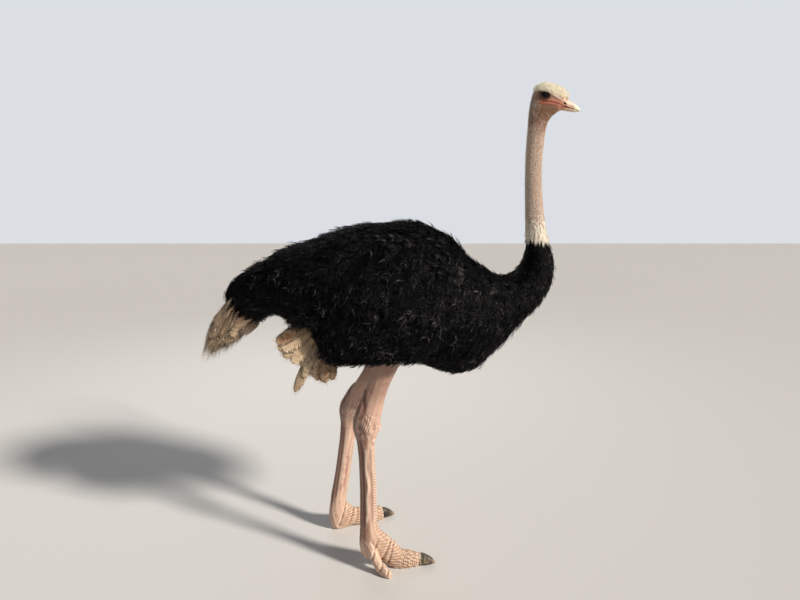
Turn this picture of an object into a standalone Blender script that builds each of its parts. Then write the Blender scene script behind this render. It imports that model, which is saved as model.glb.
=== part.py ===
"""A life-size male ostrich, standing and looking ahead. Metres, +Z up, the bird faces +X.

The bird's outline runs along two lines that are drawn beside each other: the back line and the
front line. A station names one point on each line and the half width between them, and a piece is
the skin stretched over the rings that the stations carry. The pieces are lengths of the same run,
so neighbours share one section, less a thin gap.
"""

import math

import bmesh
import bpy
import numpy as np
from mathutils import Matrix, Vector

# ---------------------------------------------------------------- driving dimensions
GAP = 0.0004  # left between two lengths of the same run
CUT_GAP = 0.0008  # left round a piece that is cut out of its neighbour
HALF_TRUNK = 0.245  # half width of the trunk with its feathers, at its widest
LEG_SPREAD = 0.153  # each leg's distance from the middle plane
HEAD_PITCH = math.radians(16.0)  # how far the bill points down
EYE_PLACE = Vector((0.572, 0.0, 2.006))  # middle of the head, level with both eyes
EYE_OUT = 0.0235  # each eye's centre, from the middle plane
EYE_RADII = (0.0205, 0.0163, 0.0205)  # a bird's eye is a flattened ball
FLAT_LEVEL = 0.0  # the soles
BODY_ROUNDNESS = 2.15  # a section's power: 2 is an ellipse, and more is squarer
BILL_ROUNDNESS = 2.4

TRUNK_SIDES = 20
WING_SIDES = 14
NECK_SIDES = 16
HEAD_SIDES = 18
EYE_SIDES = 12
LEG_SIDES = 12
TOE_SIDES = 8
BILL_SIDES = 10
PLUME_SIDES = 6

# Back line (x, z), front line (x, z), half width, egg. Egg above 0 is wider near the back line.
TAIL = [
    (-0.742, 1.188, -0.655, 1.095, 0.060, 0.0),
    (-0.728, 1.230, -0.618, 1.078, 0.098, 0.0),
    (-0.690, 1.276, -0.575, 1.090, 0.125, 0.0),
    (-0.635, 1.315, -0.545, 1.112, 0.148, 0.0),
]
TRUNK = [
    (-0.565, 1.352, -0.520, 1.120, 0.166, 0.00),
    (-0.475, 1.402, -0.455, 1.075, 0.193, 0.00),
    (-0.385, 1.434, -0.370, 1.030, 0.215, -0.02),
    (-0.270, 1.467, -0.250, 0.975, 0.235, -0.04),
    (-0.120, 1.502, -0.100, 0.930, HALF_TRUNK, -0.06),
    (0.010, 1.511, 0.030, 0.915, HALF_TRUNK, -0.06),
    (0.090, 1.508, 0.135, 0.877, 0.236, -0.06),
    (0.160, 1.478, 0.235, 0.856, 0.222, -0.04),
    (0.218, 1.430, 0.320, 0.874, 0.204, -0.02),
    (0.275, 1.372, 0.395, 0.935, 0.184, 0.00),
    (0.335, 1.328, 0.458, 1.005, 0.162, 0.00),
]
NECK_BASE = [
    (0.388, 1.297, 0.522, 1.072, 0.138, 0.00),
    (0.436, 1.281, 0.588, 1.145, 0.113, 0.00),
    (0.478, 1.293, 0.632, 1.215, 0.094, 0.00),
    (0.508, 1.330, 0.652, 1.300, 0.074, 0.00),
    (0.526, 1.385, 0.640, 1.382, 0.058, 0.00),
]
NECK = [
    (0.527, 1.440, 0.613, 1.440, 0.042, 0.00),
    (0.522, 1.510, 0.603, 1.508, 0.037, 0.00),
    (0.517, 1.600, 0.590, 1.598, 0.033, 0.00),
    (0.512, 1.728, 0.581, 1.726, 0.030, 0.00),
    (0.514, 1.850, 0.587, 1.845, 0.030, 0.00),
]
HEAD = [
    (0.517, 1.920, 0.596, 1.900, 0.0305, 0.00),
    (0.520, 1.960, 0.612, 1.925, 0.0325, 0.05),
    (0.527, 2.000, 0.626, 1.936, 0.0350, 0.10),
    (0.541, 2.038, 0.637, 1.943, 0.0375, 0.16),
    (0.569, 2.057, 0.646, 1.948, 0.0375, 0.18),
    (0.605, 2.054, 0.653, 1.950, 0.0340, 0.16),
    (0.642, 2.041, 0.659, 1.951, 0.0285, 0.10),
]

# In the head's own frame: forward along the bill, and up from the eyes' level. Two points, half
# width and egg of the face that the bill grows from.
FOREHEAD = ((0.100, 0.036), (0.088, -0.036), 0.0215, 0.05)
GAPE = -0.0165
# Where each half of the bill meets the head: heights of its two lines, half width, egg.
BILL_ROOTS = {"bill_upper": (0.0145, GAPE, 0.0195, -0.30), "bill_lower": (GAPE, -0.0340, 0.0180, 0.30)}
BILL_UPPER = [
    (0.1200, 0.0085, 0.1180, GAPE, 0.0175, -0.30),
    (0.1400, 0.0010, 0.1390, GAPE, 0.0145, -0.25),
    (0.1520, -0.0055, 0.1505, GAPE - 0.0005, 0.0105, -0.15),
    (0.1585, -0.0115, 0.1570, GAPE - 0.0010, 0.0050, 0.0),
]
BILL_LOWER = [
    (0.1180, GAPE, 0.1160, -0.0285, 0.0165, 0.30),
    (0.1380, GAPE, 0.1360, -0.0240, 0.0135, 0.25),
    (0.1470, GAPE, 0.1460, -0.0215, 0.0095, 0.15),
    (0.1515, GAPE - 0.0008, 0.1510, -0.0195, 0.0045, 0.0),
]

# Each leg's joints (x, z), and how far its toes turn out and its heel is off the floor.
LEGS = {
    "right": {
        "side": -1, "knee": (-0.020, 1.085), "hock": (-0.139, 0.690), "toe_joint": (-0.136, 0.0),
        "turn_out": math.radians(-2.5), "outer_turn": math.radians(36.0), "heel_lift": 0.055,
    },
    "left": {
        "side": 1, "knee": (-0.005, 1.000), "hock": (-0.221, 0.640), "toe_joint": (-0.303, 0.0),
        "turn_out": math.radians(21.0), "outer_turn": math.radians(34.0), "heel_lift": 0.0,
    },
}
# Share of the way from knee to hock or hock to toe joint; depth behind and in front; half width.
DRUMSTICK = [
    (0.00, 0.085, 0.085, 0.070),
    (0.22, 0.068, 0.070, 0.060),
    (0.42, 0.054, 0.056, 0.050),
    (0.60, 0.044, 0.046, 0.042),
    (0.76, 0.045, 0.047, 0.039),
    (0.90, 0.054, 0.054, 0.041),
]
SHANK = [
    (0.00, 0.058, 0.057, 0.043),
    (0.07, 0.060, 0.056, 0.043),
    (0.17, 0.046, 0.034, 0.034),
    (0.28, 0.037, 0.030, 0.028),
    (0.45, 0.034, 0.031, 0.025),
    (0.66, 0.033, 0.033, 0.025),
    (0.82, 0.035, 0.034, 0.027),
]
# From the toe joint, along the toe: lower line (s, z), upper line (s, z), half width, heel's share.
KNUCKLE = (-0.040, 0.110, 0.042, 0.132, 0.033, 1.00)
MAIN_TOE = [
    (-0.043, 0.058, 0.066, 0.104, 0.036, 1.00),
    (-0.022, -0.005, 0.088, 0.090, 0.036, 0.95),
    (0.022, -0.001, 0.108, 0.083, 0.035, 0.75),
    (0.066, 0.004, 0.127, 0.078, 0.033, 0.35),
    (0.108, -0.006, 0.147, 0.074, 0.033, 0.00),
    (0.150, -0.007, 0.172, 0.070, 0.033, 0.00),
    (0.195, -0.007, 0.200, 0.068, 0.031, 0.00),
    (0.228, -0.004, 0.222, 0.064, 0.026, 0.00),
]
CLAW = [
    (0.229, 0.001, 0.223, 0.060, 0.0225, 0.00),
    (0.254, 0.001, 0.250, 0.050, 0.0185, 0.00),
    (0.276, 0.003, 0.273, 0.036, 0.0135, 0.00),
    (0.292, 0.006, 0.291, 0.020, 0.0070, 0.00),
]
OUTER_TOE = [
    (-0.010, 0.040, 0.006, 0.108, 0.019, 1.00),
    (0.012, 0.026, 0.028, 0.100, 0.020, 0.80),
    (0.034, 0.010, 0.048, 0.084, 0.020, 0.55),
    (0.060, -0.004, 0.068, 0.062, 0.0195, 0.20),
    (0.088, -0.006, 0.092, 0.050, 0.0190, 0.00),
    (0.112, -0.005, 0.114, 0.040, 0.0165, 0.00),
    (0.128, -0.001, 0.127, 0.026, 0.0100, 0.00),
]
OUTER_TOE_OUT = 0.018  # how far its root stands to the outer side of the joint
ROWS_TO_TURN = 4  # sections, from the end of the shank, over which the foot turns out

# Wing: upper line, lower line, half thickness, egg, and how far out the upper and lower lines lie.
WING = [
    (0.205, 1.262, 0.200, 1.155, 0.018, 0.0, 0.205, 0.212),
    (0.160, 1.350, 0.165, 1.048, 0.050, 0.0, 0.192, 0.226),
    (0.060, 1.408, 0.085, 0.974, 0.068, 0.0, 0.178, 0.236),
    (-0.060, 1.410, -0.035, 0.958, 0.074, 0.0, 0.176, 0.240),
    (-0.180, 1.375, -0.150, 0.955, 0.073, 0.0, 0.176, 0.238),
    (-0.275, 1.312, -0.240, 0.952, 0.064, 0.0, 0.178, 0.232),
    (-0.345, 1.228, -0.297, 0.962, 0.042, 0.0, 0.186, 0.224),
    (-0.375, 1.150, -0.318, 1.010, 0.018, 0.0, 0.196, 0.214),
]

# A plume's share of its length and of its widest half width there, and its thinnest share.
PLUME_OUTLINE = ((0.0, 0.45), (0.35, 0.84), (0.72, 1.0), (0.93, 0.62), (1.0, 0.18))
PLUME_EDGE = 0.45
# A wing plume: tip (x, z), widest half width, and how far out its tip lies.
WING_PLUME_ROOT = (-0.272, 1.115, 0.176)
WING_PLUMES = [
    (-0.497, 1.060, 0.034, 0.210),
    (-0.482, 1.000, 0.036, 0.213),
    (-0.425, 0.955, 0.036, 0.216),
    (-0.433, 0.826, 0.024, 0.219),
    (-0.372, 0.868, 0.030, 0.222),
    (-0.318, 0.872, 0.026, 0.225),
    (-0.262, 0.874, 0.024, 0.228),
]
WING_PLUME_THICK = 0.009
WING_PLUME_START = 0.08  # share of the way from root to tip where a plume comes free
# Root (x, z), tip (x, z), how far out its root and its tip lie, half width, half thickness.
TAIL_PLUMES = [
    (-0.712, 1.195, -0.838, 0.972, 0.000, 0.000, 0.066, 0.040),
    (-0.700, 1.185, -0.818, 1.000, 0.048, 0.100, 0.056, 0.036),
    (-0.672, 1.160, -0.850, 0.925, 0.024, 0.040, 0.056, 0.042),
    (-0.655, 1.150, -0.800, 0.930, 0.052, 0.108, 0.052, 0.038),
    (-0.628, 1.135, -0.742, 0.955, 0.000, 0.000, 0.066, 0.042),
    (-0.612, 1.125, -0.690, 0.990, 0.040, 0.066, 0.052, 0.036),
]

BLACK_PLUMAGE = ("black_plumage", (0.013, 0.012, 0.013), 0.80)
PALE_PLUMES = ("pale_plumes", (0.52, 0.46, 0.38), 0.85)
NECK_SKIN = ("neck_skin", (0.60, 0.47, 0.40), 0.70)
LEG_SKIN = ("leg_skin", (0.60, 0.40, 0.34), 0.60)
BILL_HORN = ("bill_horn", (0.58, 0.37, 0.27), 0.45)
CLAW_HORN = ("claw_horn", (0.075, 0.066, 0.062), 0.50)
EYE_DARK = ("eye_dark", (0.020, 0.010, 0.007), 0.08)


# ---------------------------------------------------------------- tools
def clear_scene():
    for old in list(bpy.data.objects):
        bpy.data.objects.remove(old, do_unlink=True)


def finish_of(look):
    name, colour, roughness = look
    material = bpy.data.materials.get(name)
    if material is None:
        material = bpy.data.materials.new(name)
        material.use_nodes = True
        shader = material.node_tree.nodes["Principled BSDF"]
        shader.inputs["Base Color"].default_value = (*colour, 1.0)
        shader.inputs["Roughness"].default_value = roughness
        shader.inputs["Metallic"].default_value = 0.0
    return material


def add_object(name, mesh, look, parent):
    mesh.materials.append(finish_of(look))
    mesh.shade_smooth()
    mesh.set_sharp_from_angle(angle=math.radians(60.0))
    piece = bpy.data.objects.new(name, mesh)
    piece.parent = parent
    bpy.context.scene.collection.objects.link(piece)
    return piece


def smooth_rows(stations, steps):
    """Rows of numbers on a smooth curve through the stations, and each station's row."""
    knots = np.array(stations, float)
    lengths = np.linalg.norm(np.diff(knots[:, :4], axis=0), axis=1)
    at = np.concatenate([[0.0], np.cumsum(lengths)])
    slopes = np.gradient(knots, at, axis=0)
    rows = [knots[0]]
    places = [0]
    for i, length in enumerate(lengths):
        for step in range(1, steps + 1):
            t = step / steps
            rise = 3 * t**2 - 2 * t**3
            weights = np.array([1 - rise, t**3 - 2 * t**2 + t, rise, t**3 - t**2])
            ends = np.array([knots[i], length * slopes[i], knots[i + 1], length * slopes[i + 1]])
            rows.append(weights @ ends)
        places.append(len(rows) - 1)
    return np.array(rows), places


def ring(row, sides, outs=(0.0, 0.0), power=BODY_ROUNDNESS, floor=None):
    """One section: points round the row's two line points, which lie out from the middle plane."""
    back = Vector((row[0], outs[0], row[1]))
    front = Vector((row[2], outs[1], row[3]))
    middle = (back + front) / 2
    reach = (back - front) / 2
    points = []
    for side in range(sides):
        angle = 2 * math.pi * (side + 0.5) / sides
        along = math.copysign(abs(math.cos(angle)) ** (2 / power), math.cos(angle))
        across = math.copysign(abs(math.sin(angle)) ** (2 / power), math.sin(angle))
        point = middle + reach * along
        point.y += row[4] * across * (1 + row[5] * along)
        if floor is not None:
            point.z = max(point.z, floor)
        points.append(point)
    return points


def middle_of(points):
    return sum(points, Vector()) / len(points)


def pull_in(rings, gap):
    """Moves a piece's two end sections inward along its run, by the gap."""
    ends = ((0, 1), (-1, -2))
    for end, inner in ends:
        way = (middle_of(rings[inner]) - middle_of(rings[end])).normalized()
        rings[end] = [point + way * gap for point in rings[end]]
    return rings


def skin_over(rings):
    """A closed mesh over rings of equal count, in triangles, so that a grown copy bends alike."""
    shape = bmesh.new()
    rows = [[shape.verts.new(point) for point in points] for points in rings]
    sides = len(rows[0])
    for lower, upper in zip(rows, rows[1:]):
        for side in range(sides):
            following = (side + 1) % sides
            shape.faces.new((lower[side], lower[following], upper[following], upper[side]))
    shape.faces.new(list(reversed(rows[0])))
    shape.faces.new(rows[-1])
    bmesh.ops.recalc_face_normals(shape, faces=shape.faces)
    bmesh.ops.triangulate(shape, faces=shape.faces)
    mesh = bpy.data.meshes.new("piece")
    shape.to_mesh(mesh)
    shape.free()
    return mesh


def guide_of(mesh, name, parent):
    """A helper that shapes other pieces and is no piece itself."""
    guide = bpy.data.objects.new(name, mesh)
    guide.parent = parent
    guide.hide_render = True
    guide.display_type = "WIRE"
    bpy.context.scene.collection.objects.link(guide)
    return guide


def grown_copy(piece, growth):
    """A helper a little larger than the piece, to cut its neighbours clear of it."""
    mesh = piece.data.copy()
    normals = [vertex.normal.copy() for vertex in mesh.vertices]
    for vertex, normal in zip(mesh.vertices, normals):
        vertex.co += normal * growth
    return guide_of(mesh, piece.name + "_cutter", piece.parent)


def boolean(piece, other, operation, solver="EXACT"):
    change = piece.modifiers.new(operation.lower() + "_" + other.name, "BOOLEAN")
    change.operation = operation
    change.solver = solver
    change.object = other


# ---------------------------------------------------------------- trunk, tail, neck and head
def head_point(forward, up):
    """A point of the head's own frame, as (x, z)."""
    x = EYE_PLACE.x + forward * math.cos(HEAD_PITCH) + up * math.sin(HEAD_PITCH)
    z = EYE_PLACE.z - forward * math.sin(HEAD_PITCH) + up * math.cos(HEAD_PITCH)
    return x, z


def head_stations(stations):
    """Stations of the head's frame, with their line points in the bird's frame."""
    return [
        (*head_point(back_s, back_z), *head_point(front_s, front_z), width, egg)
        for back_s, back_z, front_s, front_z, width, egg in stations
    ]


def make_axis_pieces(parent):
    """Tail, trunk, neck base, neck and head: lengths of one run."""
    forehead, chin, brow_width, brow_egg = FOREHEAD
    end = (*head_point(*forehead), *head_point(*chin), brow_width, brow_egg)
    rows, places = smooth_rows(TAIL + TRUNK + NECK_BASE + NECK + HEAD + [end], 2)
    lengths = {
        "tail": (0, len(TAIL), TRUNK_SIDES, BLACK_PLUMAGE),
        "trunk": (len(TAIL), len(TAIL + TRUNK), TRUNK_SIDES, BLACK_PLUMAGE),
        "neck_base": (len(TAIL + TRUNK), len(TAIL + TRUNK + NECK_BASE), NECK_SIDES, BLACK_PLUMAGE),
        "neck": (
            len(TAIL + TRUNK + NECK_BASE), len(TAIL + TRUNK + NECK_BASE + NECK), NECK_SIDES, NECK_SKIN,
        ),
        "head": (len(TAIL + TRUNK + NECK_BASE + NECK), len(places) - 1, HEAD_SIDES, NECK_SKIN),
    }
    pieces = {}
    for name, (first, last, sides, look) in lengths.items():
        rings = [ring(row, sides) for row in rows[places[first]:places[last] + 1]]
        pieces[name] = add_object(name, skin_over(pull_in(rings, GAP / 2)), look, parent)
    return pieces


def on_forehead(up):
    """How far forward the head's front face lies at this height."""
    (brow_s, brow_z), (chin_s, chin_z) = FOREHEAD[:2]
    return chin_s + (brow_s - chin_s) * (up - chin_z) / (brow_z - chin_z)


def make_bill(parent):
    for name, stations in (("bill_upper", BILL_UPPER), ("bill_lower", BILL_LOWER)):
        upper, lower, width, egg = BILL_ROOTS[name]
        root = (on_forehead(upper), upper, on_forehead(lower), lower, width, egg)
        rows, _ = smooth_rows(head_stations([root] + stations), 2)
        rings = [ring(row, BILL_SIDES, power=BILL_ROUNDNESS) for row in rows]
        half_gap = Vector((math.sin(HEAD_PITCH), 0.0, math.cos(HEAD_PITCH))) * GAP / 2
        shift = half_gap if name == "bill_upper" else -half_gap
        rings = [[point + shift for point in points] for points in rings]
        forward = Vector((math.cos(HEAD_PITCH), 0.0, -math.sin(HEAD_PITCH)))
        rings = [[point + forward * GAP for point in points] for points in rings]
        add_object(name, skin_over(rings), BILL_HORN, parent)


def eye_mesh(growth):
    shape = bmesh.new()
    bmesh.ops.create_uvsphere(shape, u_segments=EYE_SIDES, v_segments=EYE_SIDES // 2 + 2, radius=1.0)
    bmesh.ops.rotate(shape, verts=shape.verts, matrix=Matrix.Rotation(math.pi / 2, 3, "X"))
    bmesh.ops.scale(shape, verts=shape.verts, vec=Vector(EYE_RADII) + Vector((growth,) * 3))
    mesh = bpy.data.meshes.new("eye")
    shape.to_mesh(mesh)
    shape.free()
    return mesh


def make_eyes(head, parent):
    for name, side in (("right", -1), ("left", 1)):
        eye = add_object("eye_" + name, eye_mesh(0.0), EYE_DARK, parent)
        socket = guide_of(eye_mesh(GAP), "socket_" + name, parent)
        for piece in (eye, socket):
            piece.location = EYE_PLACE + Vector((0.0, side * EYE_OUT, 0.0))
        boolean(head, socket, "DIFFERENCE")


# ---------------------------------------------------------------- legs and feet
def limb_stations(start, end, profile):
    """Stations along a straight bone from start to end, both (x, z)."""
    start = Vector(start)
    end = Vector(end)
    down = (end - start).normalized()
    ahead = Vector((-down.y, down.x))
    stations = []
    for share, behind, before, width in profile:
        place = start.lerp(end, share)
        back = place - ahead * behind
        front = place + ahead * before
        stations.append((*back, *front, width, 0.0))
    return stations


def toe_stations(profile, joint_x, heel_lift):
    return [
        (joint_x + low_s, low_z + lift * heel_lift, joint_x + top_s, top_z + lift * heel_lift, width, 0.0)
        for low_s, low_z, top_s, top_z, width, lift in profile
    ]


def turned(points, joint_x, out, angle):
    """The points, turned about the upright line through the toe joint."""
    turn = Matrix.Rotation(angle, 3, "Z")
    pivot = Vector((joint_x, out, 0.0))
    return [pivot + turn @ (point - pivot) for point in points]


def make_leg(name, leg, trunk_cutter, parent):
    out = leg["side"] * LEG_SPREAD
    joint_x, _ = leg["toe_joint"]
    lift = leg["heel_lift"]
    knuckle = toe_stations([KNUCKLE], joint_x, lift)[0]
    shank_end = ((knuckle[0] + knuckle[2]) / 2, (knuckle[1] + knuckle[3]) / 2)
    drumstick = limb_stations(leg["knee"], leg["hock"], DRUMSTICK)
    shank = limb_stations(leg["hock"], shank_end, SHANK)
    toe = toe_stations(MAIN_TOE, joint_x, lift)
    claw = toe_stations(CLAW, joint_x, lift)
    rows, places = smooth_rows(drumstick + shank + [knuckle] + toe, 2)
    turn = leg["side"] * leg["turn_out"]
    rings = []
    for index, row in enumerate(rows):
        points = ring(row, LEG_SIDES, (out, out), floor=FLAT_LEVEL)
        share = (index - places[len(drumstick + shank) - 1]) / ROWS_TO_TURN
        angle = turn * min(max(share, 0.0), 1.0)
        rings.append(turned(points, joint_x, out, angle))
    cuts = {
        "drumstick_": (0, places[len(drumstick)]),
        "shank_": (places[len(drumstick)], places[len(drumstick + shank)]),
        "main_toe_": (places[len(drumstick + shank)], len(rings) - 1),
    }
    pieces = {}
    for start, (first, last) in cuts.items():
        length = pull_in(rings[first:last + 1], GAP / 2)
        pieces[start] = add_object(start + name, skin_over(length), LEG_SKIN, parent)
    boolean(pieces["drumstick_"], trunk_cutter, "DIFFERENCE")

    claw_rows, _ = smooth_rows(claw, 2)
    claw_rings = [ring(row, TOE_SIDES, (out, out), floor=FLAT_LEVEL) for row in claw_rows]
    claw_rings = [turned(points, joint_x, out, turn) for points in claw_rings]
    add_object("claw_" + name, skin_over(pull_in(claw_rings, GAP)), CLAW_HORN, parent)

    toe_rows, _ = smooth_rows(toe_stations(OUTER_TOE, joint_x, lift), 1)
    root_out = out + leg["side"] * OUTER_TOE_OUT
    toe_rings = [ring(row, TOE_SIDES, (root_out, root_out), floor=FLAT_LEVEL) for row in toe_rows]
    outer_turn = turn + leg["side"] * leg["outer_turn"]
    toe_rings = [turned(points, joint_x, out, outer_turn) for points in toe_rings]
    outer = add_object("outer_toe_" + name, skin_over(toe_rings), LEG_SKIN, parent)
    for start in ("shank_", "main_toe_"):
        boolean(outer, grown_copy(pieces[start], CUT_GAP), "DIFFERENCE")
    return pieces["drumstick_"]


# ---------------------------------------------------------------- wings and plumes
def make_wing(name, side, cutters, parent):
    rows, _ = smooth_rows(WING, 2)
    rings = [ring(row, WING_SIDES, side * row[6:]) for row in rows]
    wing = add_object("wing_" + name, skin_over(rings), BLACK_PLUMAGE, parent)
    for cutter in cutters:
        boolean(wing, cutter, "DIFFERENCE")
    return wing


def plume_mesh(root, tip, half_width, half_thick, flat_way):
    """A leaf-shaped plume from root to tip; flat_way is the direction across its broad face."""
    along = tip - root
    thin_way = flat_way.normalized()
    broad_way = along.cross(thin_way).normalized()
    rings = []
    for share, spread in PLUME_OUTLINE:
        centre = root + along * share
        points = []
        for side in range(PLUME_SIDES):
            angle = 2 * math.pi * (side + 0.5) / PLUME_SIDES
            broad = broad_way * math.sin(angle) * half_width * spread
            thickness = half_thick * (PLUME_EDGE + (1 - PLUME_EDGE) * spread)
            thin = thin_way * math.cos(angle) * thickness
            points.append(centre + broad + thin)
        rings.append(points)
    return skin_over(rings)


def joined_plumes(name, meshes, cutters, parent):
    """One solid of all the plumes: the first carries the union of the others.

    Many thin leaves cross here at small angles, where the exact solver drops some of them.
    """
    plumes = add_object(name, meshes[0], PALE_PLUMES, parent)
    for index, mesh in enumerate(meshes[1:]):
        boolean(plumes, guide_of(mesh, f"{name}_guide_{index}", parent), "UNION", "MANIFOLD")
    for cutter in cutters:
        boolean(plumes, cutter, "DIFFERENCE", "MANIFOLD")
    return plumes


def make_wing_plumes(name, side, cutters, parent):
    root_x, root_z, root_out = WING_PLUME_ROOT
    meshes = []
    for tip_x, tip_z, half_width, tip_out in WING_PLUMES:
        root = Vector((root_x, side * root_out, root_z))
        tip = Vector((tip_x, side * tip_out, tip_z))
        root = root.lerp(tip, WING_PLUME_START)
        meshes.append(plume_mesh(root, tip, half_width, WING_PLUME_THICK, Vector((0.0, 1.0, 0.0))))
    return joined_plumes("wing_plumes_" + name, meshes, cutters, parent)


def make_tail_plumes(cutters, parent):
    meshes = []
    for root_x, root_z, tip_x, tip_z, root_out, tip_out, half_width, half_thick in TAIL_PLUMES:
        sides = (1,) if tip_out == 0.0 else (1, -1)
        for side in sides:
            root = Vector((root_x, side * root_out, root_z))
            tip = Vector((tip_x, side * tip_out, tip_z))
            face = Vector((-(root - tip).z, 0.0, (root - tip).x))
            meshes.append(plume_mesh(root, tip, half_width, half_thick, face))
    return joined_plumes("tail_plumes", meshes, cutters, parent)


# ---------------------------------------------------------------- the whole bird
def centre_on_floor(parent):
    """Puts the origin under the middle of the bird's box."""
    bpy.context.view_layer.update()
    graph = bpy.context.evaluated_depsgraph_get()
    corners = []
    for piece in parent.children:
        if piece.hide_render:
            continue
        solid = piece.evaluated_get(graph)
        corners += [solid.matrix_world @ Vector(corner) for corner in solid.bound_box]
    low = Vector(min(corner[i] for corner in corners) for i in range(3))
    high = Vector(max(corner[i] for corner in corners) for i in range(3))
    parent.location = (-(low.x + high.x) / 2, -(low.y + high.y) / 2, -low.z)


def main():
    clear_scene()
    bird = bpy.data.objects.new("ostrich", None)
    bpy.context.scene.collection.objects.link(bird)
    axis = make_axis_pieces(bird)
    make_bill(bird)
    make_eyes(axis["head"], bird)
    trunk_cutter = grown_copy(axis["trunk"], CUT_GAP)
    tail_cutter = grown_copy(axis["tail"], CUT_GAP)
    for name, leg in LEGS.items():
        side = leg["side"]
        drumstick = make_leg(name, leg, trunk_cutter, bird)
        leg_cutter = grown_copy(drumstick, CUT_GAP)
        wing = make_wing(name, side, (trunk_cutter, leg_cutter), bird)
        wing_cutter = grown_copy(wing, CUT_GAP)
        make_wing_plumes(name, side, (trunk_cutter, wing_cutter), bird)
    make_tail_plumes((tail_cutter, trunk_cutter), bird)
    centre_on_floor(bird)


main()
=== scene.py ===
# %% [markdown]
# # A life-size ostrich
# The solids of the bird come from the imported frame, already in their places and in metres. This
# lesson dresses them: one smooth skin over all the flesh, then eyes, bill and claws, then every
# feather as a small mesh. The first lines load the frame and keep its box, because a dressed
# model has to stay the size of the one that was measured.

# %% Load the frame
import math

import bmesh
import bpy
import numpy as np
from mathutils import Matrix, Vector
from mathutils.bvhtree import BVHTree


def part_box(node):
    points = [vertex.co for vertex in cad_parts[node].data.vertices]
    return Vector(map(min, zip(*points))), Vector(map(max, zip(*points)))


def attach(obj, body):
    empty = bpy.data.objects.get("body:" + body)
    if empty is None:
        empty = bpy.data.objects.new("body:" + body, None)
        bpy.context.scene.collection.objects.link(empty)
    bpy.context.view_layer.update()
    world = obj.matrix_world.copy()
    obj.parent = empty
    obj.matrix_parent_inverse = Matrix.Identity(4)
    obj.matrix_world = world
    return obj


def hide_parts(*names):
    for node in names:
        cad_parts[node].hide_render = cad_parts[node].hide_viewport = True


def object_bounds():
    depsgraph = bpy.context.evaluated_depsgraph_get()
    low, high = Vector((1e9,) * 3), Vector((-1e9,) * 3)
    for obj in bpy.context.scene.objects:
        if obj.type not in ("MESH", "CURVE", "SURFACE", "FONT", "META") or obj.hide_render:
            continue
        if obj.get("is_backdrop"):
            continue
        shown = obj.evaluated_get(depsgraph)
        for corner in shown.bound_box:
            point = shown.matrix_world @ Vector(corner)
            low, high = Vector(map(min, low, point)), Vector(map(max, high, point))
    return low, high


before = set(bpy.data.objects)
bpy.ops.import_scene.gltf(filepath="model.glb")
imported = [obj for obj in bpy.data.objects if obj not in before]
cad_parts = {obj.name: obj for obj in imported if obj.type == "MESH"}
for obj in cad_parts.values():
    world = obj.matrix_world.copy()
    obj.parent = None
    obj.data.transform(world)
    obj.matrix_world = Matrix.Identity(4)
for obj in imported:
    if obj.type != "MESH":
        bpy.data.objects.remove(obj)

cad_low, cad_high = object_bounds()
HEIGHT = (cad_high - cad_low).z
FULL_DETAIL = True
print(f"{len(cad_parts)} solids, {HEIGHT:.3f} m tall")

# %% [markdown]
# ## The camera
# The bird is seen from its right side by somebody standing close by, who looks slightly down at
# it. A camera could be aimed with a Track To constraint, but two numbers, a height and a tilt,
# say the same and can be read. Its place is given in bird heights, so it follows the frame. The
# Standard view shows each paint as it was mixed, with no film contrast added.

# %% Camera
CAMERA_PLACE = (0.0351, -1.2620, 0.8363)
CAMERA_TILT = math.radians(11.93)
LENS_MM = 27.9

camera = bpy.data.objects.new("camera", bpy.data.cameras.new("camera"))
bpy.context.collection.objects.link(camera)
camera.location = Vector(CAMERA_PLACE) * HEIGHT
camera.rotation_euler = (math.pi / 2 - CAMERA_TILT, 0.0, 0.0)
camera.data.lens = LENS_MM
bpy.context.scene.camera = camera
bpy.context.scene.view_settings.view_transform = "Standard"
print("camera at", [round(x, 3) for x in camera.location])

# %% [markdown]
# ## A pale studio
# The key light is a wide, soft sun: it reaches the whole floor alike, and its angle sets how soft
# the shadows are. It stands low in front of the bird, a little on the camera's side. A weak soft
# box lifts the tail, and another behind gives the back an edge. The world is dimmer as a light
# than it looks to the camera, or it would wash the shadows out.

# %% Helpers for node trees
def paint(red, green, blue):
    """A colour as a paint chart gives it, 0 to 255, made linear for the shaders."""
    chart = np.array([red, green, blue]) / 255
    linear = np.where(chart <= 0.04045, chart / 12.92, ((chart + 0.055) / 1.055) ** 2.4)
    return (*linear, 1.0)


def add_node(tree, kind, inputs=None, **settings):
    """A shader node with its settings made, and each input given a value or a link."""
    node = tree.nodes.new("ShaderNode" + kind)
    for name, value in settings.items():
        setattr(node, name, value)
    for name, value in (inputs or {}).items():
        if isinstance(value, bpy.types.NodeSocket):
            tree.links.new(value, node.inputs[name])
        else:
            node.inputs[name].default_value = value
    return node


def ranged(tree, value, before=(0.0, 1.0), after=(0.0, 1.0), kind="LINEAR"):
    """A value carried from one range to another."""
    ends = {"From Min": before[0], "From Max": before[1], "To Min": after[0], "To Max": after[1]}
    node = add_node(tree, "MapRange", {"Value": value, **ends}, interpolation_type=kind)
    return node.outputs["Result"]


def new_material(name, **constants):
    """A material with its constants set on the Principled shader's own sockets."""
    material = bpy.data.materials.new(name)
    material.use_nodes = True
    shader = material.node_tree.nodes["Principled BSDF"]
    for socket, value in constants.items():
        shader.inputs[socket.replace("_", " ")].default_value = value
    return material, material.node_tree, shader


# %% Floor, lights and world
FLOOR_REACH = 12.0
FLOOR_DROP = 0.0005
AMBIENT, BACKDROP = 0.17, 0.88
WARM = (1.0, 0.94, 0.86)
COOL = (0.94, 0.96, 1.0)

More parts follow.
